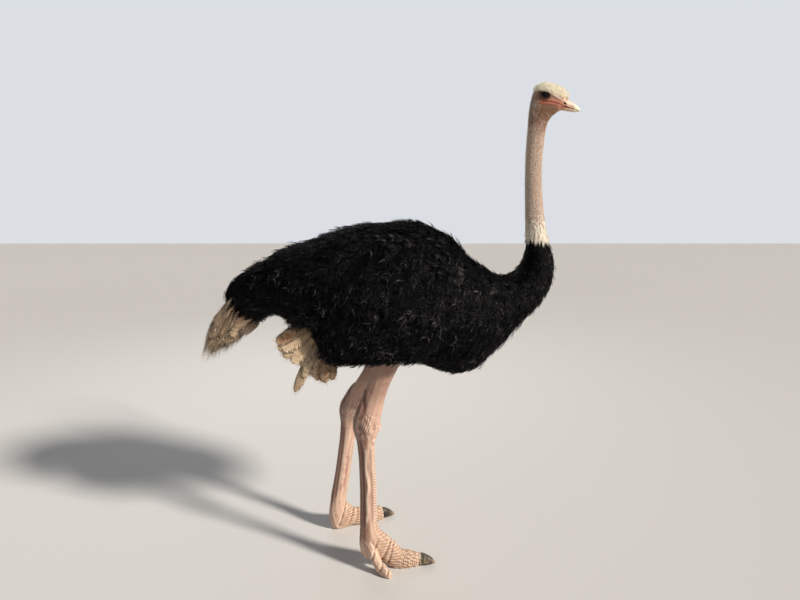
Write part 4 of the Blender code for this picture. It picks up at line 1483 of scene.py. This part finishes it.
def sculpt_bill(points, triangles, start):
    """Presses nostrils, nail, ridge and edges into the bill, and sinks its root from `start`."""
    places = head_frame(points)
    forward, out, up = places.T
    side = ease(np.abs(out), 0.003, 0.007)
    push = -0.0045 * (1 - ease(forward, start, start + 0.020)) - 0.0020 * (1 - ease(forward, 0.096, 0.128))
    push -= 0.0030 * ease(up, 0.004, 0.013) * (1 - ease(forward, 0.088, 0.106))
    push += 0.0010 * bump_at(out, 0.0, 0.0060) * (up > GAPE)
    push += 0.0006 * ease(forward, NAIL_START, NAIL_START + 0.003)
    push -= 0.0006 * bump_at(forward, NAIL_START - 0.001, 0.0022)
    opening = nostril_distance(places)
    push += 0.0008 * bump_at(opening, 1.25, 0.6) * side
    push -= 0.0042 * (1 - ease(opening, 0.40, 1.0)) * side * (up > GAPE)
    push -= 0.0009 * groove(places, NOSTRIL_STREAK, 0.0020) * side
    push -= 0.0014 * bump_at(up, GAPE, 0.0012) - 0.0006 * bump_at(np.abs(up - GAPE), 0.0026, 0.0014)
    return points + normals_of(points, triangles) * push[:, None]


bill_points, bill_triangles = remeshed(*grown_copies(("head", "bill_upper", "bill_lower")), BILL_VOXEL)
bill_points = relaxed(bill_points, bill_triangles, 12)


def make_bill_half(name, start, low, high):
    """The part of the bill between two heights, from `start` to the tip."""
    points = sculpt_bill(bill_points, bill_triangles, start)
    cutter = head_box((start, -0.1, low), (0.3, 0.1, high))
    points, triangles = joined_or_cut((points, bill_triangles), cutter, "INTERSECT")
    places = head_frame(points)
    masks = {"nail": ease(places[:, 0], NAIL_START - 0.002, NAIL_START + 0.003),
             # The inside of the nostril, to be painted near-black as painted shade.
             "nostril_shade": (1 - ease(nostril_distance(places), 0.55, 1.05)) * (places[:, 2] > GAPE),
             "edge": bump_at(places[:, 2], GAPE, 0.0024),
             "root": 1 - ease(places[:, 0], 0.084, 0.108),
             "flush": bump_at(places[:, 2], GAPE, 0.0130) * (1 - ease(places[:, 0], 0.082, 0.106))}
    return make_mesh(name + "_horn", points, triangles, masks)


def build_bill_look(name, horn, soft, nail):
    material, tree, shader = new_material(name, Roughness=0.42, Specular_IOR_Level=0.4)
    base = use_group(tree, BLOTCHES, Colour=horn, Patch=soft, Scale=70.0, Cover=0.50, Softness=0.22)
    colour = base["Colour"]
    layers = (("root", 0.75, soft), ("flush", 0.85, paint(196, 112, 88)), ("nail", 1.0, nail),
              # The nostril is painted near-black: painted shade inside its opening.
              ("edge", 0.45, paint(128, 72, 56)), ("nostril_shade", 1.0, paint(28, 14, 12)))
    for mask, share, layer in layers:
        colour = mixed(tree, times(tree, mask_of(tree, mask), share), colour, layer)
    tree.links.new(colour, shader.inputs["Base Color"])
    vary_roughness(tree, shader, base["Mask"], 0.34, 0.52)
    grain = use_group(tree, WRINKLES, Stretch=(0.35, 1.0, 1.0), Scale=260.0, Depth=0.8)
    raise_grain(tree, shader, grain["Height"], 0.5, 0.0006)
    return material


# Each half's start, its lower and upper cut, and its paints: horn, soft root and nail.
BILL_HALVES = {
    "bill_upper": (0.066, GAPE + HALF_GAP, BILL_TOP, (236, 212, 190), (212, 158, 132), (242, 232, 206)),
    "bill_lower": (0.065, -0.1, GAPE - HALF_GAP, (214, 180, 156), (184, 132, 106), (224, 208, 180)),
}
for name, (start, low, high, *paints) in BILL_HALVES.items():
    look = build_bill_look(name + "_horn", *(paint(*mix) for mix in paints))
    finish_piece(make_bill_half(name, start, low, high), look, (name,))

# %% [markdown]
# ## Claws
# Only the big toe of an ostrich carries a real claw, a blunt dark hoof of horn, scuffed pale at
# its tip and ridged along its length where it grew.

# %% Claws
CLAW_VOXEL = 0.0012
CLAW_RIDGE = 0.0042
CLAW_ROOT = 0.006


def build_claw_look():
    material, tree, shader = new_material("claw_horn_dark", Roughness=0.5, Specular_IOR_Level=0.4)
    base = use_group(tree, BLOTCHES, Colour=paint(36, 31, 29), Patch=paint(70, 60, 52), Scale=95.0,
                     Cover=0.48, Softness=0.2)
    colour = mixed(tree, mask_of(tree, "quick"), base["Colour"], paint(206, 182, 160))
    colour = mixed(tree, times(tree, mask_of(tree, "worn"), 0.5), colour, paint(150, 132, 112))
    dusty = use_group(tree, DUST, Colour=colour, Dust=paint(196, 168, 130), Reach=0.08, Amount=0.6)
    tree.links.new(dusty["Colour"], shader.inputs["Base Color"])
    vary_roughness(tree, shader, base["Mask"], 0.40, 0.66)
    growth = use_group(tree, WRINKLES, Stretch=(0.25, 1.0, 1.0), Scale=330.0, Depth=1.2)
    raise_grain(tree, shader, growth["Height"], 0.8, 0.0010)
    return material


def make_claw(name, leg):
    """A claw with ridges and lumps, its root drawn back into the toe."""
    points, triangles = remeshed(*grown_copies(("claw_" + name,)), CLAW_VOXEL)
    points = relaxed(points, triangles, 10)
    along = leg.along_toe(points)
    share = (along - along.min()) / (along.max() - along.min())
    across = points @ np.cross(leg.toe_way, (0.0, 0.0, 1.0))
    ridges = np.sin(2 * math.pi * across / CLAW_RIDGE) * (1 - ease(share, 0.75, 1.0)) * (points[:, 2] > 0.012)
    lumps = np.sin(along * 260 + points[:, 2] * 90) * np.sin(across * 300) + 0.6 * np.sin(along * 520 + 1.7)
    push = 0.0004 * ridges + 0.0007 * lumps * (points[:, 2] > 0.006) - 0.0012 * ease(share, 0.55, 0.95)
    points = points + normals_of(points, triangles) * push[:, None]
    points = points - leg.toe_way * (CLAW_ROOT * (1 - ease(share, 0.0, 0.3)))[:, None]
    points[:, 2] = np.maximum(points[:, 2], 0.0)
    masks = {"quick": 1 - ease(share, 0.05, 0.16), "worn": ease(share, 0.72, 0.98)}
    return make_mesh("claw_horn_" + name, points, triangles, masks)


claw_look = build_claw_look()
for name, leg in legs.items():
    finish_piece(make_claw(name, leg), claw_look, ("claw_" + name,))

# %% [markdown]
# ## Down, bristles and lashes
# Neck and head carry no plumes but sparse hair-like feathers. They are short white tufts on the
# neck, fine tan down on the cheeks, its colours darkened in part as painted shade of the face's
# side, and stiff pale bristles on the crown, golden over the bill. One tuft is a fan of a few
# spikes. Less grows under the jaw, so the painted shadow on the skin there stays in view.

# %% Tuft templates and the neck's own surface
def tuft_template(spikes, rng, fan=0.8, thickness=0.35, bend=0.10):
    """A fan of closed spikes that leave one root."""
    made = Template()
    for index in range(spikes):
        across = fan * (2 * (index + 0.5) / spikes - 1) + rng.uniform(-0.25, 0.25)
        reach = rng.uniform(0.60, 1.0)
        half = 0.34 / spikes + 0.06
        share = (index + 0.5) / spikes
        belly = [(0.42 * reach, 0.60 * across + step, bend * reach, share) for step in (-half, half)]
        belly.append((0.42 * reach, 0.60 * across, bend * reach - thickness, share))
        made.loft([[(0.0, 0.35 * across, 0.0, share)], belly, [(reach, across, 0.0, share)]])
    return made.arrays()


def build_down_look(name, root, tip, vary, roughness=0.75, stain=None):
    material, tree, shader = new_material(name, Roughness=roughness, Specular_IOR_Level=0.25,
                                          Sheen_Weight=0.25, Sheen_Roughness=0.5)
    tone = use_group(tree, PLUME_TONE, Root=root, Tip=tip, Vary=vary, Streaks=0.25)
    worn = use_group(tree, BLOTCHES, Colour=tone["Colour"], Patch=root, Scale=30.0, Cover=0.40, Softness=0.2)
    colour = mixed(tree, mask_of(tree, "stain"), worn["Colour"], stain) if stain else worn["Colour"]
    tree.links.new(colour, shader.inputs["Base Color"])
    vary_roughness(tree, shader, mask_of(tree, "tone"), roughness - 0.1, roughness + 0.1)
    return material


NECK_SURFACE_VOXEL = 0.004
NECK_AXIS = ((0.62, 0.0, NECK_FOOT), (0.62, 0.0, cad_high.z))
neck_arrays = remeshed(*grown_copies(("head", "neck", "neck_base")), NECK_SURFACE_VOXEL)
neck_surface = Surface(relaxed(*neck_arrays, 8), neck_arrays[1])


def down_the_neck(points, normals):
    """The lie of the neck's down: straight down, and a little off the skin."""
    return np.tile((0.0, 0.0, -1.0), (len(points), 1)) + 0.25 * normals


def tufts(name, spacing, allowed, length, half_width, lie, sink, rise, material, seed, spikes,
          yaw, steps=2, loose=0.10, thin=None, stain=None):
    """A coat piece of short tufts on the neck and head.

    allowed(points) says where they may grow and thin(points, normals) what share of them does.
    length(points, normals) and lie(points, normals) may change over the surface.
    """
    rng = np.random.default_rng(seed)
    templates = [tuft_template(spikes, rng) for _ in range(5)]
    roots, normals = scatter(neck_surface, spacing if FULL_DETAIL else spacing * 1.6, allowed, rng)
    if thin is not None:
        kept = rng.random(len(roots)) < thin(roots, normals)
        roots, normals = roots[kept], normals[kept]
    lengths = length(roots, normals) * rng.uniform(0.75, 1.2, len(roots))
    spines, faces = comb(neck_surface, roots, normals, lengths, lie, np.full(len(roots), sink), steps,
                         rng.normal(0, yaw, len(roots)), rise, loose, droop=0.0, rng=rng)
    widths = half_width * rng.uniform(0.75, 1.25, len(roots))
    extra = {"stain": stain(roots)} if stain else None
    return coat_piece(name, spines, faces, widths, templates, rng, NECK_AXIS, material, extra=extra)


# %% Collar, neck and head coat
white_look = build_down_look("white_down", paint(236, 222, 202), paint(255, 250, 240), 0.16)
# The cheek's down is tan, darkened in part as painted shade of the face's side.
cheek_look = build_down_look("grey_down", paint(164, 130, 108), paint(206, 180, 154), 0.16)
crown_look = build_down_look("crown_bristles", paint(250, 240, 216), paint(255, 254, 244), 0.10, 0.6,
                              paint(206, 170, 92))
lash_look = build_down_look("lash_black", paint(12, 9, 9), paint(26, 20, 18), 0.3, 0.4)


def nape(normals):
    """1 on the back of the neck, 0 in front."""
    return ease(-normals[:, 0], -0.2, 0.8)


def high_up(points):
    """0 on the collar's lower edge, 1 where its tufts have become the down of the neck."""
    return ease(points[:, 2], collar_height + 0.034, collar_height + 0.092)


def on_collar(points):
    return (points[:, 2] > collar_height) & (points[:, 2] < collar_height + 0.100)


def collar_length(points, normals):
    """Longest on the lower edge in front."""
    return (0.034 + 0.022 * ease(normals[:, 0], -0.6, 0.9)) * (1 - 0.72 * high_up(points))


tufts("collar", 0.0050, on_collar, collar_length, 0.0050, down_the_neck, 0.002, 0.12, white_look,
      21, spikes=5, yaw=0.20, steps=3, loose=0.05, thin=lambda p, n: 1 - 0.70 * high_up(p))


def down_here(points):
    """Whether a place is below the face: the down runs up behind the cheek to the back of the head."""
    places = head_frame(points)
    edge = np.interp(places[:, 0], (-0.045, -0.020, 0.010, 0.030), (0.010, -0.020, -0.050, -0.060))
    return (places[:, 2] < edge) & (points[:, 2] > collar_height + 0.020)


def neck_cover(points, normals):
    """The share of the neck's tufts that grow: thick below and on the nape, thin near the face and in the
    painted shadow under the jaw.
    """
    places = head_frame(points)
    face = ease(places[:, 2] - 0.9 * places[:, 0], -0.125, -0.045)
    grown = (0.80 + 0.20 * nape(normals)) * (1 - 0.45 * face * (1 - 0.6 * nape(normals)))
    low = 1 - ease(points[:, 2], collar_height + 0.10, collar_height + 0.50)
    return grown * (0.72 + 0.28 * low) * (1 - 0.80 * jaw_shadow_share(places))


for side_name, side in (("right", -1), ("left", 1)):
    tufts("neck_down_" + side_name, 0.0022, lambda p: down_here(p) & (p[:, 1] * side >= 0),
          lambda p, n: 0.0060 + 0.0035 * nape(n), 0.0012, down_the_neck, 0.0030, 0.16, white_look,
          22 + side, spikes=4, yaw=0.5, loose=0.14, thin=neck_cover)

# %% Cheeks and crown
CHEEK_FOOT = 1.880
CROWN_FOOT = 1.95


def bare_face(points):
    """Whether the head's down may grow: off the lids, the bill, the gape and the ears."""
    places = head_frame(points)
    free = (eye_distance(places) > 1.75) & (places[:, 0] < 0.072)
    free &= groove(places, GAPE_LINE, 0.0060) < 0.1
    return free & (ear_distance(places) > 1.3)


def is_crown(points):
    """Whether a place is on crown or forehead, whose lower edge runs from over the eyes to the bill."""
    places = head_frame(points)
    edge = np.interp(places[:, 0], (-0.050, -0.025, 0.0, 0.030, 0.060, 0.090, 0.105),
                     (-0.004, 0.010, 0.0175, 0.016, 0.006, 0.006, 0.010))
    return (places[:, 2] > edge) & (places[:, 0] < 0.104)


def cheek_lie(points, normals):
    return np.tile(-FORWARD - 0.6 * UP, (len(points), 1))


def crown_lie(points, normals):
    """Back over the crown, and forward over the forehead's lower edge."""
    front = ease(head_frame(points)[:, 0], 0.070, 0.098)[:, None]
    return (-FORWARD + 0.45 * UP) * (1 - front) + (0.5 * FORWARD + 0.2 * UP) * front


def crown_length(points, normals):
    """Longer towards the back of the head."""
    return 0.0105 + 0.0065 * ease(-head_frame(points)[:, 0], -0.03, 0.03)


def golden(points):
    """1 on the forehead over the bill, whose bristles are stained gold."""
    places = head_frame(points)
    return 0.75 * ease(places[:, 0], 0.045, 0.095) * ease(-places[:, 2], -0.022, -0.004)


tufts("cheek_down", 0.0023, lambda p: (p[:, 2] > CHEEK_FOOT) & bare_face(p) & ~is_crown(p),
      lambda p, n: 0.0035 + 0.0055 * nape(n), 0.0006, cheek_lie, 0.0022, 0.10, cheek_look,
      24, spikes=4, yaw=0.5,
      thin=lambda p, n: (0.40 + 0.50 * nape(n)) * ease(p[:, 2], CHEEK_FOOT, CHEEK_FOOT + 0.050))
tufts("crown", 0.0018, lambda p: (p[:, 2] > CROWN_FOOT) & is_crown(p), crown_length, 0.0009, crown_lie,
      0.0046, 0.42, crown_look, 25, spikes=4, yaw=0.6, loose=0.28, stain=golden)

# %% Lashes
LASHES = 40
LASH_RING = 1.03


def make_lashes(name, side, seed):
    """Stiff black bristles along the rim of the upper lid."""
    rng = np.random.default_rng(seed)
    turns = np.radians(np.linspace(22, 160, LASHES)) + rng.normal(0, 0.02, LASHES)
    along = LID_OPENING[0] * LASH_RING * np.cos(turns)
    across = LID_OPENING[1] * LASH_RING * np.sin(turns)
    forward, up = from_lid(along, across)
    feet = from_head(np.stack([forward, side * (ball_out(forward, up) + 0.0014), up], 1))
    ways = unit(0.75 * np.cos(turns)[:, None] * FORWARD + 0.35 * UP + side * 0.85 * SIDEWAYS)
    lengths = rng.uniform(0.0065, 0.0105, len(feet))[:, None]
    bend = 0.30 * FORWARD - 0.55 * UP
    steps = (0.0, 0.35, 0.7, 1.0)
    spines = np.stack([feet + ways * lengths * t + bend * lengths * t ** 2 for t in steps], 1)
    faces = np.tile(UP, (len(feet), len(steps), 1))
    templates = [tuft_template(1, rng, fan=0.0, thickness=0.5, bend=0.0)]
    return coat_piece("lashes_" + name, spines, faces, np.full(len(feet), 0.0006), templates, rng,
                      NECK_AXIS, lash_look)


make_lashes("left", 1, 31)
make_lashes("right", -1, 32)

# %% [markdown]
# ## Tail and wing plumes
# These are the long pale plumes. Each has a thin web along its shaft, and loose threads, bent
# twice, that reach past the web's edge. The tail's droop in layers from under the black coverts.
# Each wing shows a fan of broad rounded ones, one long narrow one, and a shorter rusty bunch in
# front. A spine here is a curve through root, belly and tip, because these plumes hang free and
# have no surface to follow.

# %% Long plumes
def build_long_look(name, root, tip, stain):
    material, tree, shader = new_material(name, Roughness=0.68, Specular_IOR_Level=0.28, Sheen_Weight=0.3,
                                          Sheen_Roughness=0.45)
    tone = use_group(tree, PLUME_TONE, Root=root, Tip=tip, Vary=0.26, Streaks=0.55)
    soiled = use_group(tree, BLOTCHES, Colour=tone["Colour"], Patch=stain, Scale=13.0, Cover=0.46,
                       Softness=0.16)
    stained = times(tree, mask_of(tree, "stain"), 0.85)
    tree.links.new(mixed(tree, stained, soiled["Colour"], stain), shader.inputs["Base Color"])
    vary_roughness(tree, shader, mask_of(tree, "tone"), 0.58, 0.78)
    strands = use_group(tree, WRINKLES, Stretch=(1.0, 1.0, 1.0), Scale=700.0, Depth=0.6)
    raise_grain(tree, shader, strands["Height"], 0.3, 0.0005)
    return material


class Hanging:
    """Plumes that hang free: their spines, the faces of their vanes, half widths and stains."""

    def __init__(self):
        self.spines = []
        self.faces = []
        self.half_widths = []
        self.stains = []

    def add(self, spine, face, half_width, stain):
        self.spines.append(spine)
        self.faces.append(np.tile(face, (len(spine), 1)))
        self.half_widths.append(half_width)
        self.stains.append(np.clip(stain, 0, 1))

    def piece(self, name, templates, rng, look, slot, replaced=(), smooth=True):
        """The coat piece of all these plumes."""
        return coat_piece(name, np.array(self.spines), np.array(self.faces), np.array(self.half_widths),
                          templates, rng, BODY_AXIS, look, replaced, smooth,
                          {"stain": np.array(self.stains)})


def hung(root, tip, belly, steps=9):
    """A spine from root to tip, pushed out by `belly` at its middle."""
    t = np.linspace(0, 1, steps)[:, None]
    return root * (1 - t) ** 2 + 2 * ((root + tip) / 2 + belly) * t * (1 - t) + tip * t ** 2


# The uppermost, a middle and the lowermost tail plume: root (x, z) and tip (x, z).
TAIL_TOP = ((-0.628, 1.225), (-0.776, 0.924))
TAIL_MIDDLE = ((-0.590, 1.165), (-0.735, 0.920))
TAIL_LOW = ((-0.525, 1.112), (-0.612, 1.020))
TAIL_LAYERS, TAIL_PER_LAYER = 6, 13
TAIL_BARBS = 46 if FULL_DETAIL else 16


def make_tail(rng):
    """Layers of tail plumes, each spread from side to side."""
    plumes = Hanging()
    templates = [vane_template(TAIL_BARBS, rng, sweep=0.36, barb_width=0.42, taper=(0.40, 0.90, 1.0, 0.95),
                               curl=0.12, ruffle=0.12, shaft=0.010, thickness=0.012, bends=2, cup=0.34,
                               web=0.76) for _ in range(8)]
    columns = np.array([TAIL_TOP, TAIL_MIDDLE, TAIL_LOW]).reshape(3, 4).T
    for layer in range(TAIL_LAYERS):
        share = layer / (TAIL_LAYERS - 1)
        root_x, root_z, tip_x, tip_z = (np.interp(share, (0, 0.5, 1), column) for column in columns)
        for index in range(TAIL_PER_LAYER):
            out = 2 * (index + 0.5) / TAIL_PER_LAYER - 1 + rng.uniform(-0.06, 0.06)
            fall = 1 - 0.22 * out ** 2 + rng.uniform(-0.08, 0.05)
            root = np.array([root_x + 0.02 * abs(out), 0.100 * out, root_z - 0.020 * out ** 2])
            tip = np.array([tip_x, 0.128 * out, tip_z]) + rng.normal(0, 0.010, 3)
            tip = root + (tip - root) * fall
            belly = np.array([-0.026, 0.020 * out, 0.018]) * (1 - 0.6 * share) + rng.normal(0, 0.011, 3)
            face = np.array([-0.75 + 1.2 * share, 0.75 * out, 0.45 - 0.9 * share]) + rng.normal(0, 0.20, 3)
            plumes.add(hung(root, tip, belly), face, rng.uniform(0.026, 0.040),
                       rng.normal(0.12 + 0.35 * (share > 0.4), 0.22))
    look = build_long_look("tail_plume", paint(134, 110, 84), paint(190, 166, 136), paint(76, 52, 36))
    return plumes.piece("tail_feathers", templates, rng, look, "pale_plumes", ("tail_plumes",))


make_tail(np.random.default_rng(41))

# %% Wing plumes
# Tip (x, z), half width, how far out the tip lies, and how stained the plume is. The last three
# are the rusty bunch.
WING_PLUMES = [
    (-0.410, 1.072, 0.024, 0.208, 0.50),
    (-0.430, 1.040, 0.028, 0.212, 0.30),
    (-0.424, 1.000, 0.031, 0.214, 0.06),
    (-0.402, 0.968, 0.032, 0.216, 0.02),
    (-0.370, 0.948, 0.032, 0.218, 0.02),
    (-0.338, 0.930, 0.030, 0.219, 0.04),
    (-0.360, 0.812, 0.019, 0.220, 0.45),
    (-0.318, 0.880, 0.024, 0.222, 0.04),
    (-0.290, 0.886, 0.024, 0.223, 0.08),
    (-0.266, 0.872, 0.028, 0.225, 0.80),
    (-0.232, 0.858, 0.030, 0.227, 0.72),
    (-0.198, 0.872, 0.026, 0.228, 0.62),
]
WING_ROOT = (-0.205, 0.176, 1.088)
WING_BARBS = 56 if FULL_DETAIL else 18
LAID_OVER = 3


def make_wing_fan(name, side, rng):
    """One wing's fan: each plume of the table laid over itself a few times, a little shorter."""
    plumes = Hanging()
    templates = [vane_template(WING_BARBS, rng, sweep=0.24, barb_width=0.36, taper=(0.34, 0.90, 1.0, 0.98),
                               curl=0.05, ruffle=0.05, shaft=0.010, thickness=0.010, bends=2, cup=0.20,
                               web=0.90) for _ in range(6)]
    rear, front = WING_PLUMES[0][0], WING_PLUMES[-1][0]
    for tip_x, tip_z, half_width, tip_out, stain in WING_PLUMES:
        back = (tip_x - front) / (rear - front)
        root = np.array([WING_ROOT[0] - 0.05 * back, side * WING_ROOT[1], WING_ROOT[2] - 0.04 * (1 - back)])
        for copy in range(LAID_OVER):
            tip = np.array([tip_x, side * (tip_out - 0.004 * copy), tip_z]) + rng.normal(0, 0.005, 3)
            tip = root + (tip - root) * (1 - 0.05 * copy)
            belly = np.array([-0.010, side * 0.012, 0.010]) + rng.normal(0, 0.004, 3)
            face = np.array([-0.15, side, 0.10]) + rng.normal(0, 0.10, 3)
            plumes.add(hung(root, tip, belly), face, half_width * rng.uniform(0.95, 1.25),
                       stain + rng.normal(0, 0.08))
    return plumes.piece("wing_feathers_" + name, templates, rng, wing_look, "pale_plumes",
                        ("wing_plumes_" + name,))


# Rows of coverts: root (x, z) and tip (x, z) at the row's rear end, how far forward it reaches, and
# how many there are.
COVERT_ROWS = (((-0.325, 1.155), (-0.382, 1.104), 0.115, 22),
               ((-0.225, 1.085), (-0.254, 0.966), 0.080, 26))
COVERT_HALF_WIDTH = 0.021
COVERT_STEPS = 5


def make_covert_tips(name, side, rng):
    """Black coverts that hang over the root and the front of the fan."""
    plumes = Hanging()
    for (root_x, root_z), (tip_x, tip_z), reach, count in COVERT_ROWS:
        for share in (np.arange(count) + 0.5) / count:
            root = np.array([root_x + reach * share, side * 0.216, root_z]) + rng.normal(0, 0.006, 3)
            tip = np.array([tip_x + reach * share, side * 0.238, tip_z]) + rng.normal(0, 0.010, 3)
            spine = hung(root, tip, np.array([-0.006, side * 0.014, 0.0]), COVERT_STEPS)
            face = np.array([-0.1, side, 0.1]) + rng.normal(0, 0.25, 3)
            plumes.add(spine, face, COVERT_HALF_WIDTH, 0.0)
    return plumes.piece("covert_tips_" + name, black_templates, rng, black_look, "black_plumage",
                        smooth=False)


wing_look = build_long_look("wing_plume", paint(154, 124, 94), paint(204, 182, 152), paint(128, 88, 54))
make_wing_fan("right", -1, np.random.default_rng(42))
make_wing_fan("left", 1, np.random.default_rng(43))
make_covert_tips("right", -1, np.random.default_rng(44))
make_covert_tips("left", 1, np.random.default_rng(45))

# %% [markdown]
# ## The size of the finished bird
# Feathers may stand a little outside the measured solids, but not far. The last line prints how
# far the box of the dressed bird has grown past the frame's.

# %% Print the growth and finish
low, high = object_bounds()
print("grown by", [round((a - b) * 1000, 1) for a, b in zip(high - low, cad_high - cad_low)], "mm")
